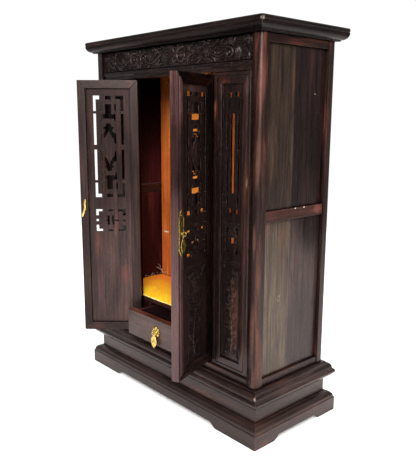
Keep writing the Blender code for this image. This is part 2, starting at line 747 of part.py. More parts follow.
def build_door(prefix, sign, turn, parent):
    """sign is +1 for the left door, whose leaf runs to +X when shut."""
    hinge = empty(prefix + "_hinge", (-sign * HINGE_X, HINGE_Y, 0.0), turn, parent)

    def lift(u, z, depth):
        return (sign * (u - HINGE_INSET), depth - HINGE_DEPTH, z)

    made = door_members(prefix, lift, hinge)
    middle = LEAF_WIDTH / 2
    edge = REBATE_WIDTH + GAP
    outline = rectangle(edge, LEAF_WIDTH - edge, DOOR_BOTTOM + edge, DOOR_TOP - edge)
    fret = middle - FRET_TOWARD_HINGE[prefix]
    holes = moved(tall_door_fret(), fret, UPPER_FRET_MID)
    holes += moved(square_door_fret(), fret, LOWER_FRET_MID)
    shell = Shell()
    fill_board(shell, lift, outline, DOOR_BOARD_FRONT, DOOR_BOARD_BACK, holes,
               leaf_patches(middle, 24.0 * MM, 14.0 * MM, (8, 22)))
    shell.cap([outline] + holes, lambda a, b: lift(a, b, DOOR_BOARD_BACK))
    shell.band([lift(a, b, DOOR_BOARD_FRONT) for a, b in outline],
               [lift(a, b, DOOR_BOARD_BACK) for a, b in outline])
    place(shell, prefix + "_board", "carved_wood", hinge)
    build_door_brass(prefix, sign, lift, made["meeting_stile"], hinge)
    return hinge


# ----------------------------------------------------------------------- brass

def ring_shell(center, axis, radius, wire, around_steps=14, wire_steps=6):
    """A closed ring; axis is 0 for X or 1 for Y."""
    shell = Shell()
    loops = []
    for i in range(around_steps):
        angle = 2 * math.pi * i / around_steps
        loop = []
        for j in range(wire_steps):
            turn = 2 * math.pi * j / wire_steps
            reach = radius + wire * math.cos(turn)
            side = wire * math.sin(turn)
            flat = (reach * math.cos(angle), reach * math.sin(angle))
            offset = (side, flat[0], flat[1]) if axis == 0 else (flat[0], side, flat[1])
            loop.append(tuple(c + o for c, o in zip(center, offset)))
        loops.append(loop)
    for i in range(around_steps):
        shell.band(loops[i], loops[(i + 1) % around_steps])
    return shell


def drop_outline(length, half_width):
    """A pointed leaf that hangs from a narrow neck at the origin."""
    neck = 0.16 * half_width
    right = [(neck, 0.0)]
    steps = 7
    for i in range(1, steps):
        t = i / steps
        width = half_width * math.sin(math.pi * t ** 1.15) ** 0.85
        right.append((max(width, neck), -length * (0.10 + 0.90 * t)))
    left = [(-a, b) for a, b in reversed(right)]
    return right + [(0.0, -length)] + left


def build_drop(name, center, parent):
    """Leaf-shaped drop with the loop that rides on the eye."""
    x, y, z = center
    loop_z = z - EYE_RADIUS
    shell = ring_shell((x, y + LOOP_BACK, loop_z), 1, LOOP_RADIUS, LOOP_WIRE)
    drop = place(shell, name, "brass", parent)
    top = loop_z - LOOP_RADIUS
    leaf = prism(name + "_leaf", "brass", parent, drop_outline(DROP_LENGTH, DROP_HALF_WIDTH),
                 lambda a, b, t: (x + a, y + LEAF_BACK + t, top + b),
                 (-DROP_THICK / 2, DROP_THICK / 2))
    combine(drop, leaf, "UNION")
    return drop


def build_door_brass(prefix, sign, lift, stile, hinge):
    """Back plate, split-pin eye through the stile, and the hanging drop."""
    u_pull = LEAF_WIDTH - PULL_FROM_EDGE
    x, face_y, _ = lift(u_pull, 0.0, -0.05 * MM)
    half_w, half_h = PLATE_HALF
    shoulder = half_h - 7.5 * MM
    outline = [(0.0, -half_h), (half_w, -shoulder), (half_w, shoulder),
               (0.0, half_h), (-half_w, shoulder), (-half_w, -shoulder)]
    plate = prism(prefix + "_plate", "brass", hinge, outline,
                  lambda a, b, t: (x + a, t, PULL_HEIGHT + b),
                  (face_y - PLATE_THICK, face_y - 0.25 * MM))
    eye_y = face_y - EYE_OUT
    inner_y = lift(0.0, 0.0, LEAF_THICK)[1] + GAP
    eye = place(ring_shell((x, eye_y, PULL_HEIGHT), 0, EYE_RADIUS, EYE_WIRE),
                prefix + "_eye", "brass", hinge)
    combine(plate, eye, "UNION")
    size = SHANK_HALF * 0.7
    shank = block(prefix + "_shank", "brass", hinge,
                  (x - size, eye_y + EYE_RADIUS - 0.3 * MM, PULL_HEIGHT - size),
                  (x + size, inner_y + LEG_THICK, PULL_HEIGHT + size))
    combine(plate, shank, "UNION")
    for leg, reach, foot, tip in (("up", 12.9 * MM, 0.5 * MM, -0.2 * MM),
                                  ("down", -9.2 * MM, 0.9 * MM, 3.7 * MM)):
        start = PULL_HEIGHT - math.copysign(size * 0.6, reach)
        outline = [(foot * sign - LEG_HALF, start), (foot * sign + LEG_HALF, start),
                   (tip * sign + LEG_HALF, PULL_HEIGHT + reach),
                   (tip * sign - LEG_HALF, PULL_HEIGHT + reach)]
        bent = prism("{}_leg_{}".format(prefix, leg), "brass", hinge, outline,
                     lambda a, b, t: (x + a, t, b), (inner_y, inner_y + LEG_THICK))
        combine(plate, bent, "UNION")
    hole = block(prefix + "_pin_hole", "brass", hinge,
                 (x - SHANK_HALF, face_y - 2.0 * MM, PULL_HEIGHT - SHANK_HALF),
                 (x + SHANK_HALF, inner_y + 2.0 * MM, PULL_HEIGHT + SHANK_HALF))
    combine(stile, hole, "DIFFERENCE")
    pin = empty(prefix + "_drop_pin", (x, eye_y, PULL_HEIGHT), 0.0, hinge)
    build_drop(prefix + "_drop", (0.0, 0.0, 0.0), pin)


def build_drawer_pull(front_y, z, parent):
    """Lobed rosette with an eye, and its drop hanging at rest."""
    outline = []
    steps = ROSETTE_LOBES * 4
    for i in range(steps):
        angle = 2 * math.pi * i / steps
        radius = ROSETTE_RADIUS * (0.90 + 0.10 * math.cos(ROSETTE_LOBES * angle))
        outline.append((radius * math.sin(angle), radius * math.cos(angle)))
    shell = Shell()
    loops = []
    for scale, depth in ((1.0, -GAP), (1.0, -GAP - 0.8 * MM), (0.62, -GAP - 1.2 * MM),
                         (0.40, -GAP - 2.4 * MM), (0.18, -GAP - 2.9 * MM)):
        loops.append([(scale * a, front_y + depth, z + scale * b) for a, b in outline])
    shell.sweep(loops)
    pull = place(shell, "drawer_pull", "brass", parent)
    eye_y = front_y - 4.3 * MM
    eye = place(ring_shell((0.0, eye_y, z), 0, EYE_RADIUS, EYE_WIRE), "drawer_eye", "brass",
                parent)
    combine(pull, eye, "UNION")
    top = z - EYE_RADIUS + 0.2 * MM
    leaf_y = eye_y + 0.5 * MM
    leaf = prism("drawer_leaf", "brass", parent, drop_outline(18.0 * MM, 5.6 * MM),
                 lambda a, b, t: (a, leaf_y + t, top + b), (-DROP_THICK / 2, DROP_THICK / 2))
    combine(pull, leaf, "UNION")


# ---------------------------------------------------------------------- drawer

def build_drawer_bay(parent):
    low, high = FLOOR_TOP + GAP, SHELF_BOTTOM - GAP
    back = NICHE_BACK_FACE - GAP
    stile_back = SHELF_FRONT + 5.0 * MM
    plan = [(GUIDE_INNER, SHELF_FRONT), (GUIDE_STILE_OUTER, SHELF_FRONT),
            (GUIDE_STILE_OUTER, stile_back), (GUIDE_INNER + GUIDE_THICK, stile_back),
            (GUIDE_INNER + GUIDE_THICK, back), (GUIDE_INNER, back)]
    for side, sign in (("left", -1), ("right", 1)):
        prism("drawer_guide_" + side, "frame_wood", parent, plan,
              lambda a, b, t, sign=sign: (BAY_CENTER + sign * a, b, t), (low, high))


def build_drawer(parent):
    slide = empty("drawer_slide", (BAY_CENTER, DRAWER_SHUT_FACE - DRAWER_PULLED, 0.0), 0.0,
                  parent)
    low, high = DRAWER_FRONT_Z
    soft = 0.5 * MM
    section = [(0.0, low + soft), (0.0, high - soft), (soft, high),
               (DRAWER_FRONT_THICK, high), (DRAWER_FRONT_THICK, low), (soft, low)]
    shell = Shell()
    shell.sweep([[(x, y, z) for y, z in section] for x in (-DRAWER_HALF, DRAWER_HALF)])
    place(shell, "drawer_front", "drawer_wood", slide)

    front = DRAWER_FRONT_THICK + GAP
    back = DRAWER_BOX_BACK - DRAWER_SHUT_FACE
    bottom = FLOOR_TOP + GAP
    outer = box_rings((-DRAWER_BOX_HALF, front, bottom),
                      (DRAWER_BOX_HALF, back, DRAWER_BOX_TOP))
    inner = box_rings((-DRAWER_BOX_HALF + DRAWER_WALL, front + DRAWER_WALL, bottom + 4.0 * MM),
                      (DRAWER_BOX_HALF - DRAWER_WALL, back - DRAWER_WALL, DRAWER_BOX_TOP))
    shell = Shell()
    shell.face(outer[0])
    for loop_a, loop_b in ((outer[0], outer[1]), (outer[1], inner[1]), (inner[1], inner[0])):
        shell.band(loop_a, loop_b)
    shell.face(inner[0])
    place(shell, "drawer_box", "drawer_wood", slide)
    build_drawer_pull(0.0, (low + high) / 2 + 0.9 * MM, slide)


# ------------------------------------------------------------------------ whole

def centering_shift():
    """Depth offset that puts the open cabinet's middle on the origin."""
    turn = math.radians(RIGHT_DOOR_OPEN)
    reach = LEAF_WIDTH - HINGE_INSET
    tip = HINGE_Y - reach * math.sin(turn) + (LEAF_THICK - HINGE_DEPTH) * math.cos(turn)
    rear = WAIST_HALF[1] + BASE_OVERHANG
    return -(tip + rear) / 2


def build():
    for old in list(bpy.data.objects):
        bpy.data.objects.remove(old, do_unlink=True)
    cabinet = empty("cabinet", (0.0, centering_shift(), 0.0), 0.0, None)
    build_base(cabinet)
    build_waist(cabinet)
    build_nosing(cabinet)
    build_cornice(cabinet)
    build_posts(cabinet)
    build_sides(cabinet)
    build_back(cabinet)
    build_floor_and_shelf(cabinet)
    build_front(cabinet)
    build_fixed_panels(cabinet)
    build_drawer_bay(cabinet)
    build_door("left_door", 1, -LEFT_DOOR_OPEN, cabinet)
    build_door("right_door", -1, RIGHT_DOOR_OPEN, cabinet)
    build_drawer(cabinet)


build()
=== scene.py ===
import math

import bmesh
import bpy
import numpy as np
from mathutils import Matrix, Vector


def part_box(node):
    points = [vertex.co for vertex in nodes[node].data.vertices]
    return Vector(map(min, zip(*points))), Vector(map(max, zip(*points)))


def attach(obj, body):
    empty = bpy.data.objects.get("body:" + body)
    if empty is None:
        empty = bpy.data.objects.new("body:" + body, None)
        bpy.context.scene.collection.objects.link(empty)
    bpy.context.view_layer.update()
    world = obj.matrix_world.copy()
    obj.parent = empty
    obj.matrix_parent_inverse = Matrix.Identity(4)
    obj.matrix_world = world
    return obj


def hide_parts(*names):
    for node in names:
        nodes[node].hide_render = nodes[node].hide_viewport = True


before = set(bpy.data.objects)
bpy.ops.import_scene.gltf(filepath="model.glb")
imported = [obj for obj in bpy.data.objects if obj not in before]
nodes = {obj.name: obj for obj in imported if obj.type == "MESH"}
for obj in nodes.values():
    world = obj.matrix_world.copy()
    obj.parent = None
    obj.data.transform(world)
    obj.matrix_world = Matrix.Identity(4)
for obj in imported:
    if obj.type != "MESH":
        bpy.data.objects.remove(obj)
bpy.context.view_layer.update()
scene = bpy.context.scene
MM = 0.001


def having(thing, **values):
    """Gives a thing several of its properties at once."""
    for key, value in values.items():
        setattr(thing, key, value)
    return thing


# ------------------------------------------------------------------- materials

def linear(code, shade=1.0):
    """A screen colour such as "4a3a36" as linear light, times a shade."""
    found = []
    for k in (0, 2, 4):
        c = int(code[k:k + 2], 16) / 255
        found.append((c / 12.92 if c < 0.04045 else ((c + 0.055) / 1.055) ** 2.4) * shade)
    return (*found, 1.0)


class Graph:
    """The nodes of a material or of the world; a colour may be given by its code."""

    def __init__(self, owner):
        owner.use_nodes = True
        self.tree = owner.node_tree
        self.tree.nodes.clear()

    def node(self, kind, inputs=None, **settings):
        made = having(self.tree.nodes.new("ShaderNode" + kind), **settings)
        for key, value in (inputs or {}).items():
            self.feed(made.inputs[key], value)
        return made

    def feed(self, socket, value):
        if isinstance(value, bpy.types.NodeSocket):
            self.tree.links.new(value, socket)
        else:
            socket.default_value = linear(value) if isinstance(value, str) else value


class Paint(Graph):
    """A material and the steps that it is built from."""

    def __init__(self, name):
        self.material = bpy.data.materials.new(name)
        super().__init__(self.material)
        self.shader = self.node("BsdfPrincipled")
        self.node("OutputMaterial", {"Surface": self.shader.outputs[0]})

    def math(self, kind, a, b=0.0, clamp=False):
        return self.node("Math", {0: a, 1: b}, operation=kind, use_clamp=clamp).outputs[0]

    def plus(self, a, b, clamp=False):
        return self.math("ADD", a, b, clamp)

    def minus(self, a, b, clamp=False):
        return self.math("SUBTRACT", a, b, clamp)

    def times(self, a, b):
        return self.math("MULTIPLY", a, b)

    def dot(self, a, b):
        return self.node("VectorMath", {0: a, 1: b}, operation="DOT_PRODUCT").outputs["Value"]

    def place(self):
        return self.node("TexCoord").outputs["Object"]

    def stretched(self, scale, offset):
        return self.node("Mapping", {"Vector": self.place(), "Scale": scale,
                                     "Location": offset}).outputs[0]

    def noise(self, scale, offset=(0.0, 0.0, 0.0), detail=3.0, rough=0.55, twist=0.0):
        """Noise with one rate, or with one for each axis."""
        if isinstance(scale, float):
            scale = (scale,) * 3
        made = self.node("TexNoise", {"Vector": self.stretched(scale, offset), "Scale": 1.0,
                                      "Detail": detail, "Roughness": rough,
                                      "Distortion": twist})
        return made.outputs["Fac"]

    def ramp(self, value, *stops):
        made = self.node("ValToRGB", {"Fac": value})
        band = made.color_ramp
        band.interpolation = "EASE"
        band.elements.remove(band.elements[-1])
        for k, (place, colour) in enumerate(stops):
            if isinstance(colour, str):
                colour = linear(colour)
            elif not isinstance(colour, tuple):
                colour = (colour, colour, colour, 1.0)
            element = band.elements[0] if k == 0 else band.elements.new(place)
            element.position = place
            element.color = colour
        return made.outputs["Color"]

    def rise(self, value, start, end, top=1.0):
        return self.ramp(value, (start, 0.0), (end, top))

    def fall(self, value, start, end, top=1.0):
        return self.ramp(value, (start, top), (end, 0.0))

    def blend(self, fac, a, b, kind="MIX"):
        made = self.node("Mix", data_type="RGBA", blend_type=kind)
        for socket, value in ((0, fac), (6, a), (7, b)):
            self.feed(made.inputs[socket], value)
        return made.outputs[2]

    def edges(self, radius):
        """1 on sharp outward and inward edges, 0 on flat faces."""
        soft = self.node("Bevel", {"Radius": radius}, samples=4).outputs[0]
        hard = self.node("NewGeometry").outputs["Normal"]
        return self.minus(1.0, self.dot(soft, hard), clamp=True)

    def crevices(self, reach, samples, deep, clear):
        """1 deep in corners and under ledges, 0 in the open: painted shade on the wood, tarnish on
        the brass.
        """
        sky = self.node("AmbientOcclusion", {"Distance": reach}, samples=samples).outputs["AO"]
        return self.fall(sky, deep, clear)

    def walls(self, face):
        """1 where the surface turns away from the board's face, as in cuts and holes; the wood
        paints shade there.
        """
        facing = self.dot(self.node("TexCoord").outputs["Normal"], face)
        return self.fall(self.math("ABSOLUTE", facing), 0.30, 0.85)

    def raised(self, face, ground, top):
        """0 on the ground of a relief, 1 on its highest points, both as distances along face; the
        wood paints shade on the ground and highlight on top.
        """
        reach = self.dot(self.place(), face)
        return self.node("MapRange", {0: reach, 1: ground, 2: top, 3: 0.0, 4: 1.0}).outputs[0]

    def patch(self, centre, radii, ragged, grain):
        """1 inside a soft-edged spot, 0 outside it."""
        spread = self.stretched(tuple(1 / r for r in radii),
                                tuple(-c / r for c, r in zip(centre, radii)))
        reach = self.node("VectorMath", {0: spread}, operation="LENGTH").outputs["Value"]
        torn = self.noise((grain, grain, grain * 0.3), detail=4.0)
        reach = self.plus(reach, self.times(torn, ragged))
        return self.fall(reach, 0.30 + ragged * 0.5, 0.95 + ragged * 0.5)

    def bump(self, height, strength, distance):
        return self.node("Bump", {"Height": height, "Strength": strength,
                                  "Distance": distance}).outputs[0]

    def finish(self, **sockets):
        for key, value in sockets.items():
            self.feed(self.shader.inputs[key.replace("_", " ")], value)
        return self.material


# Shade, then the dark, middle, light and warm colour of each timber.
PALETTES = {
    "frame": (0.5, "100909", "2a1a18", "46302b", "6e3a2c"),
    "cornice": (0.5, "080505", "150e0d", "2a1d1b", "472b25"),
    "post": (0.46, "150c0b", "2e1d1a", "4c332d", "96594a"),
    "base": (0.5, "181010", "33231f", "503b36", "6f4236"),
    "door": (0.56, "1d1313", "3d2a28", "5a423d", "7e4b3e"),
    "stile": (0.27, "1d1313", "3d2a28", "5a423d", "7e4b3e"),
    "deep": (0.5, "080505", "18100e", "2b1c19", "46281f"),
    "edge": (0.46, "3a2426", "5c3c3b", "74504d", "8f6056"),
    "drawer": (0.5, "33211f", "4c3532", "654a44", "7a5248"),
    "rim": (0.7, "2c1411", "4c241c", "6b382b", "8a4c38"),
    "olive": (0.5, "1f1713", "3c2e26", "574636", "6f4a38"),
    "plum": (0.5, "110909", "221514", "352423", "52302a"),
    "tan": (0.5, "3b2f28", "665546", "8a7762", "8e5c40"),
    "mauve": (0.5, "2a1f20", "493936", "63504b", "7a5244"),
    "maroon": (0.5, "170809", "2b1213", "3e1d1b", "4b2320"),
    "amber": (1.0, "964212", "d96b2e", "ec8b3c", "f3943f"),
    "lining": (0.7, "1c080c", "3f161a", "5b2628", "6b2f2e"),
    "pit": (0.5, "030202", "060404", "0c0808", "150c0a"),
    "flame": (0.27, "3a1c17", "5a3028", "7a473c", "8a5142"),
}


def grain_scale(along, across_rate, along_rate):
    scale = [across_rate] * 3
    scale["xyz".index(along)] = along_rate
    return tuple(scale)


def timber(p, palette, along, off, warm_from):
    """Colour, grain height and pores of one board, from dark to warm streak."""
    shade, *codes = PALETTES[palette]
    dark, mid, light, warm = (linear(code, shade) for code in codes)

    def grain(across_rate, along_rate, **more):
        return p.noise(grain_scale(along, across_rate, along_rate), off, **more)

    figure = grain(58.0, 5.0, detail=4.0, twist=1.1)
    lines = grain(430.0, 16.0, detail=5.0, rough=0.72)
    veins = grain(210.0, 7.0, twist=0.6)
    pores = grain(1500.0, 110.0, detail=2.0)
    streak = grain(64.0, 7.0, detail=5.0, rough=0.6)
    cloud = grain(24.0, 11.0)
    tone = p.plus(p.times(figure, 0.50), p.times(lines, 0.50))
    colour = p.ramp(tone, (0.38, dark), (0.49, mid), (0.61, light))
    red = p.rise(streak, warm_from - 0.06, warm_from + 0.10, 0.75)
    colour = p.blend(red, colour, warm)
    colour = p.blend(p.fall(veins, 0.36, 0.44, 0.7), colour, dark)
    holes = p.fall(pores, 0.33, 0.43)
    colour = p.blend(p.times(holes, 0.55), colour, dark)
    colour = p.blend(p.fall(cloud, 0.36, 0.62, 0.5), colour, dark)
    return colour, lines, holes


def wood(name, palette, along="z", shift=0.0, second=(), gloss=0.31, level=0.25, edge_wear_and_highlight=0.6,
         warm_from=0.60, relief=0.35, patches=(), face=None, mottle=0.10, relief_span=None,
         crests=0.16):
    """Oiled rosewood: slow dark figure, fine grain, open pores, warm streaks;
    painted shade in its hollows, painted highlight on relief crests and edges.

    second is (palette, axis, from, to, seam): that board takes over between two places.
    patches are (colour, centre, radii, strength): stains, sapwood, knots and chips, and also
    painted shade and painted light;
    a number in place of the colour makes the wood there that much lighter or darker.
    """
    p = Paint(name)
    off = (shift, shift * 1.7, shift * 2.3)
    colour, lines, holes = timber(p, palette, along, off, warm_from)
    for k, (other, axis, start, end, gap) in enumerate(second):
        mate, _, _ = timber(p, other, along, tuple(v + 3.1 * (k + 1) for v in off), warm_from)
        at = p.node("SeparateXYZ", {0: p.place()}).outputs["xyz".index(axis)]
        inside = p.times(p.math("GREATER_THAN", at, start), p.math("LESS_THAN", at, end))
        colour = p.blend(inside, colour, mate)
        near = p.math("ABSOLUTE", p.minus(at, end if end < 1 else start))
        seam = p.fall(p.math("DIVIDE", near, 0.45 * MM), 0.3, 1.0, gap)
        colour = p.blend(seam, colour, "0c0707")
    # Marks are stains, sapwood, knots and chips, and also painted shade and painted light; darker
    # marks also lose reflection.
    for mark_colour, (x, y, z), radii, strength in patches:
        ragged, grain = (0.35, 30.0) if max(radii) > 40 else (0.7, 160.0)
        spot = p.patch((x * MM, y * MM + SHIFT, z * MM), tuple(r * MM for r in radii),
                       ragged, grain)
        if isinstance(mark_colour, float):
            grained = p.blend(1.0, colour, (mark_colour, mark_colour, mark_colour, 1.0), "MULTIPLY")
            if mark_colour < 1.0:
                dimmed = p.times(spot, strength * (1.0 - mark_colour))
                level = p.times(p.minus(1.0, dimmed), level)
        else:
            grained = p.blend(lines, linear(mark_colour, 0.55), linear(mark_colour, 1.3))
        colour = p.blend(p.times(spot, strength), colour, grained)
    fleck = p.noise(grain_scale(along, 900.0, 330.0), off, detail=2.0)
    colour = p.blend(p.rise(fleck, 0.54, 0.66, mottle), colour, "5a443c")
    colour = p.blend(p.fall(fleck, 0.36, 0.47, 2.5 * mottle), colour, "080505")
    # Painted shade: near black (060304) and without reflection in corners and under ledges, on the
    # walls of cuts and holes, and on the low ground of a relief.
    painted_shade = p.times(p.crevices(4.2 * MM, 6, 0.38, 0.80), 0.93)
    if face:
        painted_shade = p.math("MAXIMUM", painted_shade, p.times(p.walls(face), 0.92))
    if relief_span:
        crest = p.raised(face, *relief_span)
        painted_shade = p.math("MAXIMUM", painted_shade, p.fall(crest, 0.05, 0.45, 0.7))
        # Painted highlight: the tops of a relief lightened towards 4c3833.
        colour = p.blend(p.rise(crest, 0.55, 0.95, crests), colour, "4c3833")
    colour = p.blend(painted_shade, colour, "060304")
    level = p.times(p.minus(1.0, painted_shade), level)
    # Worn edges lightened towards 8d766c, which also serve as painted highlight along the rims.
    edge_patches = p.noise(260.0, off, detail=5.0, rough=0.75)
    rim = p.rise(p.edges(0.5 * MM), 0.02, 0.20)
    worn_and_highlit_edges = p.times(rim, p.rise(edge_patches, 0.42, 0.62, edge_wear_and_highlight))
    colour = p.blend(worn_and_highlit_edges, colour, "8d766c")
    rough = p.plus(gloss, p.times(p.minus(lines, 0.5), 0.34))
    rough = p.plus(rough, p.times(holes, 0.18), clamp=True)
    height = p.minus(p.times(lines, 0.6), p.times(holes, 0.5))
    return p.finish(Base_Color=colour, Roughness=rough,
                    Normal=p.bump(height, relief, 0.12 * MM),
                    Specular_IOR_Level=level, Specular_Tint=(1.0, 0.80, 0.76, 1.0))


def brass(name, light="b0934a", deep="5a4520"):
    """Stamped brass: brushed, with darker tarnish in its hollows and a painted highlight on its
    rims.
    """
    p = Paint(name)
    cloud = p.noise(420.0, detail=4.0, rough=0.6)
    brushed = p.noise((2600.0, 2600.0, 300.0), detail=2.0)
    dirt = p.crevices(1.6 * MM, 8, 0.35, 0.85)
    tone = p.ramp(cloud, (0.35, deep), (0.58, light))
    tone = p.blend(p.times(dirt, 0.85), tone, "2a1b0a")
    # Painted highlight: rims lightened almost to white (fff2c4).
    rim = p.rise(p.edges(0.45 * MM), 0.02, 0.16)
    tone = p.blend(p.times(rim, 0.95), tone, "fff2c4")
    rough = p.plus(0.26, p.times(cloud, 0.22))
    return p.finish(Base_Color=tone, Metallic=1.0, Roughness=rough,
                    Normal=p.bump(brushed, 0.25, 0.05 * MM))


def softened(piece, width=0.35 * MM):
    """Rounds the sharp arrises of a solid as hand sanding does."""
    having(piece.modifiers.new("weld", "WELD"), merge_threshold=0.00001)
    having(piece.modifiers.new("flat", "DECIMATE"), decimate_type="DISSOLVE",
           angle_limit=math.radians(0.5))
    having(piece.modifiers.new("arris", "BEVEL"), width=width, segments=2,
           limit_method="ANGLE", angle_limit=math.radians(34), use_clamp_overlap=True)
    piece.data.polygons.foreach_set("use_smooth", [True] * len(piece.data.polygons))
    having(piece.modifiers.new("true_faces", "WEIGHTED_NORMAL"), mode="FACE_AREA",
           weight=100, keep_sharp=False)


def dress(piece, material):
    piece.data.materials.clear()
    piece.data.materials.append(material)


# ------------------------------------------------------------ places on the CAD

# The cabinet's own middle lies this far behind the origin of the part's frame.
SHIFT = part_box("frieze")[1].y + 42.3 * MM
HINGE_X, HINGE_Y, HINGE_INSET, HINGE_DEPTH = 71.8 * MM, -54.4 * MM, 4.4 * MM, 1.6 * MM
LEAF_FACE, LEAF_WIDTH = -56.0 * MM, 75.7 * MM
# Middle of each fretted board, in mm from the hinge edge or from the cabinet's middle.
MIDDLE = {"door": LEAF_WIDTH / 2 / MM, "fixed": 104.3}
BOARD_FRONT = {"door": 2.5 * MM, "fixed": 3.5 * MM}
OPEN = {"left": math.radians(-132.0), "right": math.radians(108.5)}
SIGN = {"left": 1, "right": -1}


def on_door(side):
    """Maps (u from the hinge edge, height, depth behind the face) of an open leaf."""
    sign, cos, sin = SIGN[side], math.cos(OPEN[side]), math.sin(OPEN[side])

    def lift(u, z, depth):
        a, b = sign * (u - HINGE_INSET), depth - HINGE_DEPTH
        return (-sign * HINGE_X + a * cos - b * sin, HINGE_Y + SHIFT + a * sin + b * cos, z)

    return lift


def on_front(side):
    return lambda u, z, depth: (-SIGN[side] * u, LEAF_FACE + SHIFT + depth, z)


def on_case(x, y, z):
    return (x, y + SHIFT, z)


# -------------------------------------------------------------------- mesh kit

def added(name, data):
    made = bpy.data.objects.new(name, data)
    scene.collection.objects.link(made)
    return made


def piece(name, points, faces, material, body, slot, smooth=True):
    mesh = bpy.data.meshes.new(name)
    mesh.from_pydata([tuple(p) for p in points], [], [tuple(f) for f in faces])
    shape = bmesh.new()
    shape.from_mesh(mesh)
    bmesh.ops.recalc_face_normals(shape, faces=shape.faces)
    shape.to_mesh(mesh)
    shape.free()
    mesh.polygons.foreach_set("use_smooth", [smooth] * len(mesh.polygons))
    made = added(name, mesh)
    mesh.materials.append(material)
    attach(made, body)
    return made


def border(wide, high):
    """Indices (row, column) once round the rim of a grid."""
    ring = [(0, i) for i in range(wide)] + [(j, wide - 1) for j in range(1, high)]
    ring += [(high - 1, i) for i in range(wide - 2, -1, -1)]
    return ring + [(j, 0) for j in range(high - 2, 0, -1)]


def slab(name, lift, across, up, raised, face, back, material, body):
    """A carved board: a grid raised above its face, with flush rims and a flat back."""
    nu, nz = len(across), len(up)
    raised = raised.copy()
    raised[0, :] = raised[-1, :] = 0.0
    raised[:, 0] = raised[:, -1] = 0.0
    u, z = np.meshgrid(across, up)
    x, y, h = lift(u, z, face - raised)
    front = np.stack([np.broadcast_to(v, u.shape) for v in (x, y, h)], -1).reshape(-1, 3)
    ring = border(nu, nz)
    behind = [lift(across[i], up[j], back) for j, i in ring]
    first = nu * nz
    j, i = np.meshgrid(np.arange(nz - 1), np.arange(nu - 1), indexing="ij")
    a = (j * nu + i).ravel()
    faces = np.stack([a, a + 1, a + nu + 1, a + nu], 1).tolist()
    n = len(ring)
    for k in range(n):
        (ja, ia), (jb, ib) = ring[k], ring[(k + 1) % n]
        faces.append((ja * nu + ia, jb * nu + ib, first + (k + 1) % n, first + k))
    faces.append(tuple(first + k for k in range(n)))
    return piece(name, list(front) + behind, faces, material, body, "carved_wood")


def shifted(grid):
    """The grid moved by one cell, each way."""
    return [np.roll(grid, way, axis) for way in (1, -1) for axis in (0, 1)]


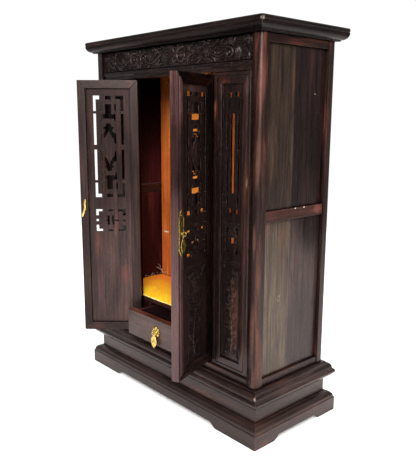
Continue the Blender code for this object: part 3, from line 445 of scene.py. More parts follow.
class Carving:
    """Relief built up stroke by stroke on a grid, in millimetres."""

    def __init__(self, a0, a1, b0, b1, step):
        self.a = np.linspace(a0, a1, max(int(round((a1 - a0) / step)), 2) + 1)
        self.b = np.linspace(b0, b1, max(int(round((b1 - b0) / step)), 2) + 1)
        self.A, self.B = np.meshgrid(self.a, self.b)
        self.H = np.zeros_like(self.A)

    def window(self, low, high):
        i0, i1 = np.searchsorted(self.a, (low[0], high[0]))
        j0, j1 = np.searchsorted(self.b, (low[1], high[1]))
        return slice(j0, j1), slice(i0, i1)

    def raise_to(self, w, height):
        self.H[w] = np.maximum(self.H[w], height)

    def stroke(self, points, widths, height):
        """A rounded stem along a line, its half width and height tapering together."""
        points = np.array(points, float)
        widths = np.interp(np.linspace(0, 1, len(points)), np.linspace(0, 1, len(widths)), widths)
        top = widths.max()
        for p, q, wa, wb in zip(points, points[1:], widths, widths[1:]):
            w = self.window(np.minimum(p, q) - top, np.maximum(p, q) + top)
            A, B = self.A[w], self.B[w]
            if A.size == 0:
                continue
            d = q - p
            t = np.clip(((A - p[0]) * d[0] + (B - p[1]) * d[1]) / max(d @ d, 1e-9), 0, 1)
            gap = np.hypot(A - p[0] - t * d[0], B - p[1] - t * d[1])
            wide = wa + (wb - wa) * t
            shape = np.clip(1 - (gap / np.maximum(wide, 1e-6)) ** 2, 0, 1) ** 0.6
            self.raise_to(w, height * shape * np.clip(wide / top, 0.35, 1))

    def over(self, draw, margin=3):
        """Lays a form over what is carved so far, with a groove cut round it."""
        below, self.H = self.H, np.zeros_like(self.A)
        draw()
        near = self.H > 0.05
        for _ in range(margin):
            near = np.any([near, *shifted(near)], axis=0)
        self.H = np.maximum(np.where(near, below * 0.12, below), self.H)

    def fluted(self, pitch, low, high):
        """Veined leaf ground: ribs whose run sways along the board."""
        way = (1.15 * np.sin((self.A - self.a[0]) / 12.0)
               + 0.6 * np.sin(self.B / 5.0 + self.A / 19.0))
        run = (self.A * np.cos(way) + self.B * np.sin(way)) * 2 * np.pi / pitch
        self.H = low + (high - low) * np.clip(0.35 + 0.65 * np.sin(run), 0, 1)

    def lobe(self, at, angle, length, bend, width=1.35, height=1.7):
        """One finger of a leaf: a fat tapering stroke that curves away from its root."""
        points = [(at[0] + t * length * math.cos(angle + bend * t),
                   at[1] + t * length * math.sin(angle + bend * t))
                  for t in np.linspace(0, 1, 14)]
        self.over(lambda: self.stroke(points, [0.6, width, width * 0.9, 0.4], height), 1)

    def petal(self, at, angle, length, width, height, bend=0.0, teeth=0, vein=0.35, cup=0.0):
        """A leaf or petal from its base point: domed, veined, with a toothed rim."""
        at = np.array(at, float)
        w = self.window(at - 1.3 * length, at + 1.3 * length)
        A, B = self.A[w] - at[0], self.B[w] - at[1]
        if A.size == 0:
            return
        c, s = math.cos(angle), math.sin(angle)
        x, y = (A * c + B * s) / length, (-A * s + B * c)
        y = y - bend * length * x * x
        t = np.clip(x, 0, 1)
        half = width * np.sin(np.pi * t ** 0.8) ** 0.8 * (1 - 0.25 * t) + 1e-6
        if teeth:
            half = half * (1 - 0.22 * np.abs(np.sin(np.pi * teeth * t)))
        side = np.abs(y) / half
        inside = (x > 0) & (x < 1) & (side < 1)
        dome = np.clip(1 - side ** 2, 0, 1) ** 0.5
        dome = dome * (1 - cup * np.exp(-(side / 0.55) ** 2))
        groove = vein * np.exp(-(y / (0.10 * width + 0.12)) ** 2)
        ribs = 0.0
        if teeth:
            ribs = 0.12 * np.cos(2 * np.pi * teeth * (t - 0.35 * side))
        tall = height * (0.55 + 0.45 * np.sin(np.pi * t)) * (dome - groove + ribs)
        self.raise_to(w, np.where(inside, np.clip(tall, 0, None), 0.0))

    def dome(self, at, radius, height):
        at = np.array(at, float)
        w = self.window(at - radius, at + radius)
        gap = np.hypot(self.A[w] - at[0], self.B[w] - at[1])
        self.raise_to(w, height * np.clip(1 - (gap / radius) ** 2, 0, 1) ** 0.5)

    def curl(self, at, radius, start, turns, width, height, way=1):
        """A scroll that winds in to a bead at its middle."""
        points = []
        steps = max(int(abs(turns) * 22), 8)
        for k in range(steps + 1):
            t = k / steps
            reach = radius * (1 - t) ** 0.75 + 0.18 * radius * t
            angle = start + way * turns * 2 * math.pi * t
            points.append((at[0] + reach * math.cos(angle), at[1] + reach * math.sin(angle)))
        self.stroke(points, [width, width * 0.7, width * 0.5], height)
        self.dome(at, width * 1.15, height * 1.05)

    def flower(self, at, radius, petals, height, turn=0.0, layers=2):
        for layer in range(layers):
            size = radius * (1 - 0.38 * layer)
            for k in range(petals):
                angle = turn + 2 * math.pi * (k + 0.5 * layer) / petals
                self.petal(at, angle, size, size * math.pi / petals * 0.78,
                           height * (0.72 + 0.2 * layer), vein=0.18, cup=0.35)
        self.dome(at, radius * 0.26, height * 1.05)

    def tooled(self, depth, seed=3):
        """Shallow gouge marks left on the ground between the raised forms."""
        marks = np.random.default_rng(seed)
        rough = marks.random(self.H.shape)
        for _ in range(2):
            rough = sum(shifted(rough), rough) / 5
        rough = (rough - rough.min()) / (rough.max() - rough.min())
        self.H += depth * rough * np.clip(1 - self.H / (4 * depth), 0.25, 1)


# --------------------------------------------------------------------- carvings

CUT_STEP = 0.36
FRIEZE_DEPTH = 1.8
# Leaves of the band: root along and up from its left end, angles of the fingers, their
# length in mm and the bend of the outer ones.
FRIEZE_LEAVES = (
    (10, 1, (112, 92, 72, 50, 28), 15, 0.5), (30, 25, (196, 218, 240, 262, 286), 14, -0.5),
    (38, 1, (16, 38, 60, 84, 108), 15, 0.6), (58, 25, (190, 214, 238, 262), 12, 0.5),
    (80, 1, (150, 120, 60, 30), 10, 0.5), (82, 25, (200, 232, 262, 296), 10, -0.6),
    (97, 1, (128, 100, 72, 44, 14), 11, 0.5), (116, 25, (192, 222, 252, 284, 316), 12, 0.5),
    (118, 1, (140, 108, 74, 42, 12), 11, -0.5), (146, 25, (186, 212, 240, 270, 300), 13, 0.6),
    (148, 1, (132, 100, 68, 38), 12, -0.5), (172, 1, (118, 92, 66), 15, 0.4),
    (176, 25, (232, 262, 292, 322), 12, -0.4), (186, 1, (74, 52, 30, 8), 17, 0.5),
    (204, 25, (212, 242, 272, 302, 332), 12, 0.5), (218, 1, (10, 34, 58, 84, 112), 15, 0.5),
    (247, 25, (180, 202, 226, 250, 276), 15, -0.5), (252, 1, (124, 98, 74, 48), 15, 0.4),
    (270, 25, (196, 220, 246, 270), 14, 0.4), (268, 1, (110, 82), 10, 0.3),
)
# Scrolls: place, radius, angle of the start, turns, width and way round.
FRIEZE_CURLS = ((70, 12.5, 8.8, 60, 1.4, 1.7, 1), (89, 13.5, 6.4, 250, 1.3, 1.4, -1),
                (161, 12.0, 9.4, 75, 1.2, 2.0, 1), (239, 9.0, 6.2, 120, 1.2, 1.3, -1),
                (24, 11.0, 6.0, 200, 1.1, 1.4, 1))
# Blossoms: place, radius and number of petals.
FRIEZE_FLOWERS = ((104, 14.5, 7.0, 7), (131, 12.0, 7.6, 8), (205, 13.5, 7.8, 8),
                  (48, 13.0, 5.4, 6), (182, 15.5, 5.0, 6))


def carved_frieze(material):
    """Band of leaves, scrolls and blossoms over the doors."""
    low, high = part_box("frieze")
    half, z0, z1 = high.x / MM, low.z / MM, high.z / MM
    c = Carving(-half, half, z0, z1, CUT_STEP)

    def at(u, v):
        return (u - half, z0 + v)

    c.fluted(4.4, 0.25, 1.25)
    for u, v, angles, length, bend in FRIEZE_LEAVES:
        for k, angle in enumerate(angles):
            way = 2 * k / (len(angles) - 1) - 1
            c.lobe(at(u, v), math.radians(angle), length * (1 - 0.18 * abs(way)), bend * way)
    stem = [at(u, 12.5 + 6.0 * math.sin(u / 9.5)) for u in np.arange(6, 270, 1.6)]
    c.over(lambda: c.stroke(stem, [0.7, 1.2, 1.2, 1.2, 0.7], 1.5), 2)
    for u, v, radius, start, turns, width, way in FRIEZE_CURLS:
        c.over(lambda: c.curl(at(u, v), radius, math.radians(start), turns, width, 1.8, way))
    for u, v, radius, petals in FRIEZE_FLOWERS:
        c.over(lambda: c.flower(at(u, v), radius, petals, 1.75, 0.3 * u))
    c.H *= np.clip(np.minimum(c.B - z0, z1 - c.B) / 1.0 - 0.2, 0, 1)
    c.tooled(0.12)
    c.H = np.clip(c.H, 0, FRIEZE_DEPTH)
    band = slab("frieze_carved", lambda u, z, d: (u, d, z), c.a * MM, c.b * MM, c.H * MM,
                low.y + FRIEZE_DEPTH * MM, high.y, material, "cabinet")
    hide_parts("frieze")


FIELD_LOW, FIELD_HIGH = 88.0, 189.0
SEAT_DEPTH = 1.3 * MM


def flower_spray(half, seed):
    """A flowering branch that climbs the lower panel, buds near its top."""
    z0, z1 = FIELD_LOW, FIELD_HIGH
    c = Carving(-half, half, z0, z1, CUT_STEP)
    c.fluted(4.8, 0.02, 0.5)
    tall = z1 - z0
    sway = half * 0.22

    def on_stem(t):
        return (sway * math.sin(7.0 * t), z0 + tall * t)

    c.stroke([on_stem(t) for t in np.linspace(0.03, 0.84, 60)], [1.25, 0.9, 0.7, 0.45], 1.0)
    for k in range(7):
        side = 1 if (k + seed) % 2 else -1
        x, z = on_stem(0.10 + 0.105 * k)
        reach = min(half * 0.72, 9.5)
        c.petal((x, z), math.radians(90 - side * 52), reach, 2.5, 1.15, -0.22 * side, 5)
        c.petal((x, z + 3.5), math.radians(90 + side * 62), reach * 0.7, 1.7, 0.95,
                0.2 * side, 4)
        if k % 2:
            c.curl((x + side * half * 0.5, z + 6.0), 2.6, 0.5, 1.1, 0.7, 0.9, side)
    c.over(lambda: c.flower((0.0, z0 + tall * 0.86), min(half * 0.55, 7.2), 7, 1.4, 0.3, 3))
    c.flower((-sway * 1.6, z0 + tall * 0.66), 3.9, 6, 1.15, 0.1)
    c.flower((sway * 1.5, z0 + tall * 0.45), 3.4, 5, 1.05, 0.6)
    for angle, bend in ((150, 0.1), (30, -0.1)):
        c.petal((0, z0 + 1.5), math.radians(angle), half * 0.55, 2.2, 0.9, bend, 3)
    c.H *= 1.2
    edge = np.minimum(np.minimum(c.B - z0, z1 - c.B), half - np.abs(c.A))
    c.H *= np.clip(edge / 1.2 - 0.4, 0, 1)
    c.tooled(0.07, seed)
    c.H = np.clip(c.H, 0, 1.5)
    return c


def board_with_seat(node, name, lift, face_depth, u0, u1, material, body):
    """A copy of a board with its carved field sunk, so that a finer carving sits in it."""
    z0, z1 = FIELD_LOW * MM, FIELD_HIGH * MM
    mesh = nodes[node].data.copy()
    mesh.name = name
    shape = bmesh.new()
    shape.from_mesh(mesh)
    bmesh.ops.remove_doubles(shape, verts=shape.verts, dist=0.00001)
    origin = Vector(lift(u0, z0, face_depth))
    along = (Vector(lift(u1, z0, face_depth)) - origin).normalized()
    inward = (Vector(lift(u0, z0, face_depth + MM)) - origin).normalized()
    slack = 0.05 * MM
    gone = []
    for face in shape.faces:
        at = face.calc_center_median() - origin
        if (slack < at.dot(along) < u1 - u0 - slack and slack < at.z < z1 - z0 - slack
                and at.dot(inward) < 0.5 * MM):
            gone.append(face)
    bmesh.ops.delete(shape, geom=gone, context="FACES")
    rim = [e for e in shape.edges if e.is_boundary]
    sunk = bmesh.ops.extrude_edge_only(shape, edges=rim)["geom"]
    for part in sunk:
        if isinstance(part, bmesh.types.BMVert):
            part.co += inward * SEAT_DEPTH
    ends = [e for e in sunk if isinstance(e, bmesh.types.BMEdge)]
    bmesh.ops.contextual_create(shape, geom=ends)
    bmesh.ops.recalc_face_normals(shape, faces=shape.faces)
    shape.to_mesh(mesh)
    shape.free()
    made = added(name, mesh)
    dress(made, material)
    softened(made, 0.22 * MM)
    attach(made, body)
    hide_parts(node)


def carved_boards():
    for side in ("left", "right"):
        for kind, half, lift, node, body in (
                ("door", 14.0, on_door(side), side + "_door_board", side + "_door"),
                ("fixed", 10.0, on_front(side), "fixed_panel_" + side, "cabinet")):
            c = flower_spray(half, 1 if side == "left" else 2)
            middle, depth = MIDDLE[kind] * MM, BOARD_FRONT[kind]
            board_with_seat(node, node + "_fret", lift, depth, middle - half * MM,
                            middle + half * MM, node_wood(node), body)
            ground = Vector(lift(middle, 0.1, depth))
            outward = (Vector(lift(middle, 0.1, 0.0)) - ground).normalized()
            at = ground.dot(outward)
            relief = node_wood(node, "_carving", face=tuple(outward),
                               relief_span=(at - 0.35 * MM, at + 1.1 * MM), crests=0.04)
            slab(node + "_carving", lift, middle + c.a * MM * 0.998, c.b * MM, c.H * MM,
                 depth, depth + SEAT_DEPTH * 0.9, relief, body)


def both_ways(rects, across):
    """Repeats (a0, a1, b0, b1) above and below the middle, and left and right of it."""
    found = []
    for a0, a1, b0, b1 in rects:
        for lowest, highest in ((b0, b1), (-b1, -b0)):
            found.append((a0, a1, lowest, highest))
            if across:
                found.append((-a1, -a0, lowest, highest))
    return found


UPPER_FRET, LOWER_FRET = 315.1, 220.4
# The right door's fret stands this far towards its hinge.
RIGHT_FRET_SHIFT = 3.0
DOOR_BLIND = (both_ways([(-4.9, 4.9, 42.2, 54.9), (-4.9, 4.9, 59.0, 65.0), (-5.6, 5.6, 26.4, 31.2),
                         (-7.6, 7.6, 21.5, 23.6), (-10.2, 10.2, 4.0, 17.7),
                         (16.8, 20.0, 45.0, 65.0), (-12.2, -8.8, 59.4, 65.0)], False),
              both_ways([(-4.0, 4.0, 11.6, 15.0), (17.2, 20.0, 5.6, 15.0),
                         (-13.0, -9.0, 11.0, 15.0)], False)
              + [(-20.0, -8.8, -15.2, -11.0)])
FIXED_BLIND = (both_ways([(1.4, 4.2, 58.8, 65.0), (6.6, 8.8, 58.8, 65.0)], True),
               both_ways([(3.8, 10.0, 6.0, 15.0), (6.4, 10.0, -2.0, 2.0)], True))


def blind_fret(name, lift, middle, fields, depths, material, body):
    """Grounds left standing inside the fret, set back from its face."""
    ground = Parts(lift)
    near, far = depths
    chamfer = 0.35
    for height, rects in zip((UPPER_FRET, LOWER_FRET), fields):
        for a0, a1, b0, b1 in rects:
            u0, u1, z0, z1 = middle + a0, middle + a1, height + b0, height + b1
            ground.rings([[(u0 + inset, z0 + inset, depth), (u1 - inset, z0 + inset, depth),
                           (u1 - inset, z1 - inset, depth), (u0 + inset, z1 - inset, depth)]
                          for inset, depth in ((0.0, far), (0.0, near + chamfer),
                                               (chamfer, near))])
    piece(name, *ground.form, material, body, "carved_wood", False)


def blind_frets():
    # Near black, as painted shade in the recesses of the fret.
    material = wood("fret_ground_painted_shade", "pit", gloss=0.35, level=0.12, edge_wear_and_highlight=0.2)
    blind_fret("right_door_fret_ground", on_door("right"), MIDDLE["door"] - RIGHT_FRET_SHIFT,
               DOOR_BLIND, (3.5, 5.1), material, "right_door")
    for side in ("left", "right"):
        blind_fret("fixed_" + side + "_fret_ground", on_front(side), MIDDLE["fixed"],
                   FIXED_BLIND, (4.6, 6.0), material, "cabinet")


# ----------------------------------------------------------------------- brass

def circle(steps, radius=1.0):
    """Points (cos, sin) once round, the first on the a axis."""
    return [(radius * math.cos(t), radius * math.sin(t))
            for t in (2 * math.pi * k / steps for k in range(steps))]


class Parts:
    """Several closed forms gathered into one piece, placed by lift."""

    def __init__(self, lift):
        self.lift = lift
        self.form = ([], [])

    def rings(self, loops, closed=False):
        """Joins loops of equal length; capped at both ends unless closed on itself."""
        points, faces = self.form
        first, n = len(points), len(loops[0])
        points += [self.lift(*(v * MM for v in p)) for loop in loops for p in loop]
        for i in range(len(loops) if closed else len(loops) - 1):
            a, b = first + i * n, first + (i + 1) % len(loops) * n
            faces += [(a + k, a + (k + 1) % n, b + (k + 1) % n, b + k) for k in range(n)]
        if not closed:
            last = first + (len(loops) - 1) * n
            faces += [tuple(range(first, first + n))[::-1], tuple(range(last, last + n))]

    def tube(self, path, radius, sides=10, closed=False):
        path = [Vector(p) for p in path]
        loops = []
        side = None
        for i, at in enumerate(path):
            before = path[i - 1] if closed or i else at
            after = path[(i + 1) % len(path)] if closed or i + 1 < len(path) else at
            way = (after - before).normalized()
            if side is None:
                side = way.orthogonal().normalized()
            side = (side - way * side.dot(way)).normalized()
            other = way.cross(side)
            loops.append([tuple(at + side * a + other * b) for a, b in circle(sides, radius)])
        self.rings(loops, closed)

    def ring(self, centre, radius, wire, flat=True):
        """A wire ring; flat rings face the front, others stand edge on."""
        u, z, d = centre
        self.tube([(u + a, z + b, d) if flat else (u, z + b, d + a)
                   for a, b in circle(28, radius)], wire, closed=True)

    def plaque(self, outline, u, z, depths):
        """Nested copies of an outline: (scale, depth) from the back out and in again."""
        self.rings([[(u + a * scale, z + b * scale, depth) for a, b in outline]
                    for scale, depth in depths])


def even(outline, per_side):
    """The same outline with per_side points on each of its sides."""
    found = []
    for (a, b), (c, d) in zip(outline, outline[1:] + outline[:1]):
        found += [(a + (c - a) * k / per_side, b + (d - b) * k / per_side)
                  for k in range(per_side)]
    return found


def leaf_drop(parts, centre, length, half, thick):
    """A pointed leaf with a raised rim, a midrib and side veins."""
    u, z, d = centre
    rows, cols = 36, 24
    loops = []
    for i in range(rows + 1):
        t = i / rows
        wide = max(half * math.sin(math.pi * t ** 1.15) ** 0.85,
                   half * 0.17 * (1 - t) + 0.05)
        loop = []
        for across, facing in circle(cols):
            front = facing < 0
            bulge = thick / 2 * abs(facing) ** 0.45
            if front:
                rim = 0.24 * math.exp(-((abs(across) - 0.80) / 0.13) ** 2)
                rib = 0.30 * math.exp(-(across * wide / 0.45) ** 2)
                vein = 0.10 * math.cos(2 * math.pi * (6 * t + 1.2 * abs(across)))
                dish = -0.28 * max(0.0, 1 - (across / 0.7) ** 2)
                grow = min(1.0, wide / (0.5 * half))
                bulge += (rim + rib + vein * (abs(across) < 0.62) + dish) * grow
            loop.append((u + wide * across, z - length * t, d + (-bulge if front else bulge)))
        loops.append(loop)
    parts.rings(loops)


PULL_U, PULL_Z, EYE_DEPTH = LEAF_WIDTH / MM - 5.3, 235.0, -4.35
PIN_END, PIN_LEGS_AT = 9.6, 9.5
PLATE_HALF, PLATE_TIP, PLATE_SHOULDER, NAIL_AT = 4.7, 25.0, 17.5, 19.5
PLATE_STEPS = ((1.0, -0.25), (1.0, -0.62), (0.965, -0.95), (0.90, -0.95), (0.86, -0.72),
               (0.60, -0.80), (0.30, -0.95), (0.05, -1.0))
NAIL_STEPS = ((1.0, -0.6), (0.95, -0.95), (0.7, -1.1), (0.3, -1.18), (0.05, -1.2))
COLLAR_STEPS = ((1.0, -0.7), (1.0, -1.2), (0.75, -1.55), (0.5, -1.6))


def door_brass(side, metal):
    """Pointed plate with its split-pin eye, and the leaf that hangs from the eye."""
    lift = on_door(side)
    plate = Parts(lift)
    half, tip, shoulder = PLATE_HALF, PLATE_TIP, PLATE_SHOULDER
    plate.plaque(even([(0, -tip), (half, -shoulder), (half, shoulder), (0, tip),
                       (-half, shoulder), (-half, -shoulder)], 6),
                 PULL_U, PULL_Z, PLATE_STEPS)
    for z in (-NAIL_AT, NAIL_AT):
        plate.plaque(circle(12, 0.6), PULL_U, PULL_Z + z, NAIL_STEPS)
    plate.ring((PULL_U, PULL_Z, EYE_DEPTH), 2.1, 0.62, flat=False)
    for way in (1, -1):
        plate.tube([(PULL_U, PULL_Z + 0.45 * way, EYE_DEPTH + 1.9),
                    (PULL_U, PULL_Z + 0.4 * way, PIN_END)], 0.5)
    plate.plaque(circle(20, 1.7), PULL_U, PULL_Z, COLLAR_STEPS)
    # The pin's legs, bent flat against the back of the stile.
    for reach, foot, end in ((12.9, 0.5, -0.2), (-9.2, 0.9, 3.7)):
        rows = []
        for k in range(13):
            t = k / 12
            z = PULL_Z + reach * t - (math.copysign(0.4, reach) if k == 0 else 0.0)
            u = PULL_U + foot + (end - foot) * t
            wide = 1.3 * (1.0 if t < 0.9 else 0.75)
            top = PIN_LEGS_AT + 0.06 * math.sin(3 * t)
            rows.append([(u - wide, z, PIN_LEGS_AT), (u + wide, z, PIN_LEGS_AT),
                         (u + wide, z, top + 0.42), (u + wide * 0.5, z, top + 0.66),
                         (u - wide * 0.5, z, top + 0.66), (u - wide, z, top + 0.42)])
        plate.rings(rows)
    made = piece(side + "_door_plate_brass", *plate.form, metal, side + "_door", "brass")
    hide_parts(side + "_door_plate")
    softened(made, 0.1 * MM)
    drop = Parts(lift)
    drop.ring((PULL_U, PULL_Z - 2.1, EYE_DEPTH + 0.9), 1.6, 0.48)
    leaf_drop(drop, (PULL_U, PULL_Z - 3.7, EYE_DEPTH + 1.5), 17.0, 4.6, 0.9)
    made = piece(side + "_door_drop_brass", *drop.form, metal, side + "_drop", "brass")
    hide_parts(side + "_door_drop")


DRAWER_FACE = -78.5 * MM
ROSETTE_STEPS = ((1.0, -0.3), (1.0, -0.75), (0.97, -1.05), (0.90, -1.35), (0.80, -1.55),
                 (0.70, -1.60), (0.60, -1.45), (0.50, -1.30), (0.44, -1.55), (0.40, -2.1),
                 (0.34, -2.5), (0.27, -2.75), (0.18, -2.9), (0.04, -2.95))


def drawer_brass(metal):
    """Eight-lobed rosette with cupped petals, its eye, and the leaf that hangs from it."""
    x0, z0, lobes, turns = -0.8, 91.15, 8, 96
    pull = Parts(lambda u, z, depth: (u, DRAWER_FACE + SHIFT + depth, z))
    loops = []
    for scale, depth in ROSETTE_STEPS:
        loop = []
        for angle in (2 * math.pi * k / turns for k in range(turns)):
            swing = math.cos(lobes * angle)
            groove = 0.5 * (0.5 - 0.5 * swing) * max(0.0, scale - 0.42)
            reach = 7.5 * scale * (0.90 + 0.10 * swing * min(1.0, scale * 1.4))
            loop.append((x0 + reach * math.sin(angle), z0 + reach * math.cos(angle),
                         depth + (groove if 0.45 < scale < 0.99 else 0.0)))
        loops.append(loop)
    pull.rings(loops)
    pull.ring((x0, z0, -4.3), 2.1, 0.62, flat=False)
    pull.ring((x0, z0 - 2.2, -3.6), 1.7, 0.5)
    leaf_drop(pull, (x0, z0 - 1.9, -3.8), 18.0, 5.6, 0.95)
    made = piece("drawer_pull_brass", *pull.form, metal, "drawer", "brass")
    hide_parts("drawer_pull")


# ----------------------------------------------------------------------- cloth

def cloth_material():
    """Yellow satin that fades to orange towards its back, with a worn nap."""
    p = Paint("altar_satin")
    weft = p.noise((300.0, 2600.0, 300.0), detail=2.0)
    warp = p.noise((2600.0, 300.0, 300.0), detail=2.0)
    nap = p.noise(500.0, detail=5.0, rough=0.7)
    at = p.node("SeparateXYZ", {0: p.place()}).outputs["Y"]
    back = p.math("DIVIDE", p.plus(at, 15.0 * MM), 80.0 * MM)
    fade = p.plus(back, p.times(p.minus(p.noise(26.0), 0.5), 0.7))
    colour = p.ramp(fade, (0.0, "ffd626"), (0.40, "ffae26"), (0.75, "ff8c34"))
    colour = p.blend(p.fall(nap, 0.30, 0.55, 0.55), colour, "b4590f")
    colour = p.blend(p.rise(nap, 0.55, 0.75, 0.5), colour, "ffd75a")
    height = p.plus(p.times(p.plus(weft, warp), 0.3), nap)
    return p.finish(Base_Color=colour, Roughness=0.75, Sheen_Weight=0.25,
                    Sheen_Roughness=0.5, Sheen_Tint="ffb040", Specular_IOR_Level=0.15,
                    Normal=p.bump(height, 0.55, 0.35 * MM))


MAT_FRONT, MAT_BACK, MAT_HALF, MAT_LOW = -41.4, 39.0, 140.0, 112.3
MAT_TOP = ((-41.6, 1.7), (-39.0, 2.4), (-26.0, 4.7), (-6.0, 6.7), (14.0, 7.2), (39.2, 7.2))
SWELL_FRAMES, SWELL_LIMIT = 20, 1.4 * MM


def mat_top(y):
    return np.interp(y, *zip(*MAT_TOP))


def ripple(x, y):
    """Slow unevenness and small creases of a hand-laid cloth."""
    return (0.30 * np.sin(x / 17.0 + 1.3 * np.sin(y / 15.0)) * np.sin(y / 12.5 + 0.7)
            + 0.22 * np.sin(x / 7.1 + y / 9.3) * np.sin(x / 29.0 - y / 21.0 + 1.0)
            + 0.12 * np.sin(x / 3.3 - y / 4.7 + 2.0 * np.sin(x / 23.0)))


def swollen(mat, held):
    """Lets the padding swell under light pressure, pinned along its base and border."""
    pins = mat.vertex_groups.new(name="pinned")
    pins.add(held, 1.0, "REPLACE")
    padding = mat.modifiers.new("padding", "CLOTH")
    having(padding.settings, vertex_group_mass="pinned", use_pressure=True,
           uniform_pressure_force=4.0, quality=6)
    padding.settings.effector_weights.gravity = 0.0
    having(padding.point_cache, frame_start=1, frame_end=SWELL_FRAMES)
    for step in range(1, SWELL_FRAMES + 1):
        scene.frame_set(step)
    seen = mat.evaluated_get(bpy.context.evaluated_depsgraph_get())
    settled = [v.co.copy() for v in seen.data.vertices]
    mat.modifiers.remove(padding)
    for vertex, place in zip(mat.data.vertices, settled):
        move = place - vertex.co
        if move.length > SWELL_LIMIT:
            move *= SWELL_LIMIT / move.length
        vertex.co += move
        vertex.co.z = max(vertex.co.z, (MAT_LOW + 0.03) * MM)
    scene.frame_set(1)


def altar_mat(material):
    """Thin padded cloth on the shelf: flat below, swelling up from its front hem."""
    nx, ny = 118, 40
    X, Y = np.meshgrid(np.linspace(-MAT_HALF + 1.2, MAT_HALF - 1.2, nx),
                       np.linspace(MAT_FRONT + 0.8, MAT_BACK - 1.0, ny))
    edge = np.minimum(np.minimum(X + MAT_HALF, MAT_HALF - X), MAT_BACK - Y)
    tall = mat_top(Y) * np.clip(edge / 5.0, 0.35, 1) ** 0.5 - 0.4
    top = np.stack([X, Y, MAT_LOW + np.maximum(tall + ripple(X, Y), 0.9)], -1)
    low = np.stack([X, Y, np.full_like(X, MAT_LOW + 0.05)], -1)
    points = [on_case(*(v * MM for v in q))
              for q in np.concatenate([top.reshape(-1, 3), low.reshape(-1, 3)])]
    faces, n = [], nx * ny
    for j in range(ny - 1):
        for i in range(nx - 1):
            a = j * nx + i
            b = n + a
            faces += [(a, a + 1, a + nx + 1, a + nx), (b, b + nx, b + nx + 1, b + 1)]
    ring = [j * nx + i for j, i in border(nx, ny)]
    for a, b in zip(ring, ring[1:] + ring[:1]):
        faces.append((a, n + a, n + b, b))
    mat = piece("altar_mat", points, faces, material, "cabinet", "cloth")
    swollen(mat, sorted(ring) + list(range(n, 2 * n)))
    finer = mat.modifiers.new("finer", "SUBSURF")
    finer.levels = finer.render_levels = 1
    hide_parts("altar_cloth")


# Long pale threads: foot, run along and across, and rise.
LONG_THREADS = ((-136.0, 37.0, -1.5, -7.0, 15.0), (-133.0, 37.5, -4.0, -12.0, 11.0),
                (-131.0, 37.0, 12.0, -5.0, 6.0), (-135.5, 36.0, 4.5, -3.0, 8.5))
SHORT_THREADS = 46


def hem_and_threads():
    """Rolled front hem, and the loose threads of the cut edges."""
    pale = Paint("altar_satin_hem")
    worn = pale.noise((260.0, 400.0, 400.0))
    pale.finish(Base_Color=pale.ramp(worn, (0.35, "ffcf4a"), (0.6, "fff0b0")),
                Roughness=0.8, Normal=pale.bump(worn, 0.6, 0.3 * MM))
    hem = Parts(on_case)
    hem.tube([(x, -40.9 + 0.18 * math.sin(x / 6.0), 113.35 + 0.12 * math.sin(x / 4.1 + 1.0))
              for x in np.arange(-139.2, 139.3, 1.6)], 0.72, 8)
    piece("altar_mat_hem", *hem.form, pale.material, "cabinet", "cloth")
    threads = Parts(on_case)
    chance = np.random.default_rng(11)
    for _ in range(SHORT_THREADS):
        if chance.random() < 0.55:
            x, y = -139.0 + chance.random() * 1.5, -38.0 + 76.0 * chance.random() ** 0.6
        else:
            x, y = -138.0 + 276.0 * chance.random(), 38.3
        z = MAT_LOW + float(mat_top(y)) - 0.6
        way = chance.random() * 2 * math.pi
        reach = 2.0 + 4.0 * chance.random()
        rise = 0.5 + 2.4 * chance.random() ** 2
        threads.tube([(min(max(x + reach * t * math.cos(way + t), -140.6), 140.6),
                       min(y + reach * t * math.sin(way + t), 39.6),
                       z + rise * math.sin(2.2 * t)) for t in (k / 5 for k in range(6))],
                     0.06, 4)
    for x, y, dx, dy, up in LONG_THREADS:
        threads.tube([(x + dx * t, y + dy * t, MAT_LOW + 6.6 + up * math.sin(1.5 * t))
                      for t in (k / 8 for k in range(9))], 0.13, 5)
    fibre = Paint("loose_thread")
    shade = fibre.noise(90.0, detail=2.0)
    fibre.finish(Base_Color=fibre.ramp(shade, (0.35, "f6dcae"), (0.6, "fffaf0")),
                 Roughness=0.6)
    piece("altar_mat_threads", *threads.form, fibre.material, "cabinet", "cloth")


# ------------------------------------------------------- timber of each CAD part

BRASS_NODES = {"left_door_plate", "right_door_plate", "drawer_pull", "left_door_drop",
               "right_door_drop"}
SHIFTS = {name: 0.37 * (k + 1) for k, name in enumerate(sorted(nodes))}
LEAF_FRAME_FRONT = -53.6 * MM + SHIFT
BOARD_JOINT = -3.0 * MM + SHIFT
NICHE_HALF = 144.05 * MM
DRAWER_FRONT_RIM, DRAWER_BOX_RIM = 106.6 * MM, 103.3 * MM
FRIEZE_FRONT = -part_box("frieze")[0].y
CARVED = dict(gloss=0.32, level=0.4, mottle=0.2, edge_wear_and_highlight=0.8, relief=0.6)
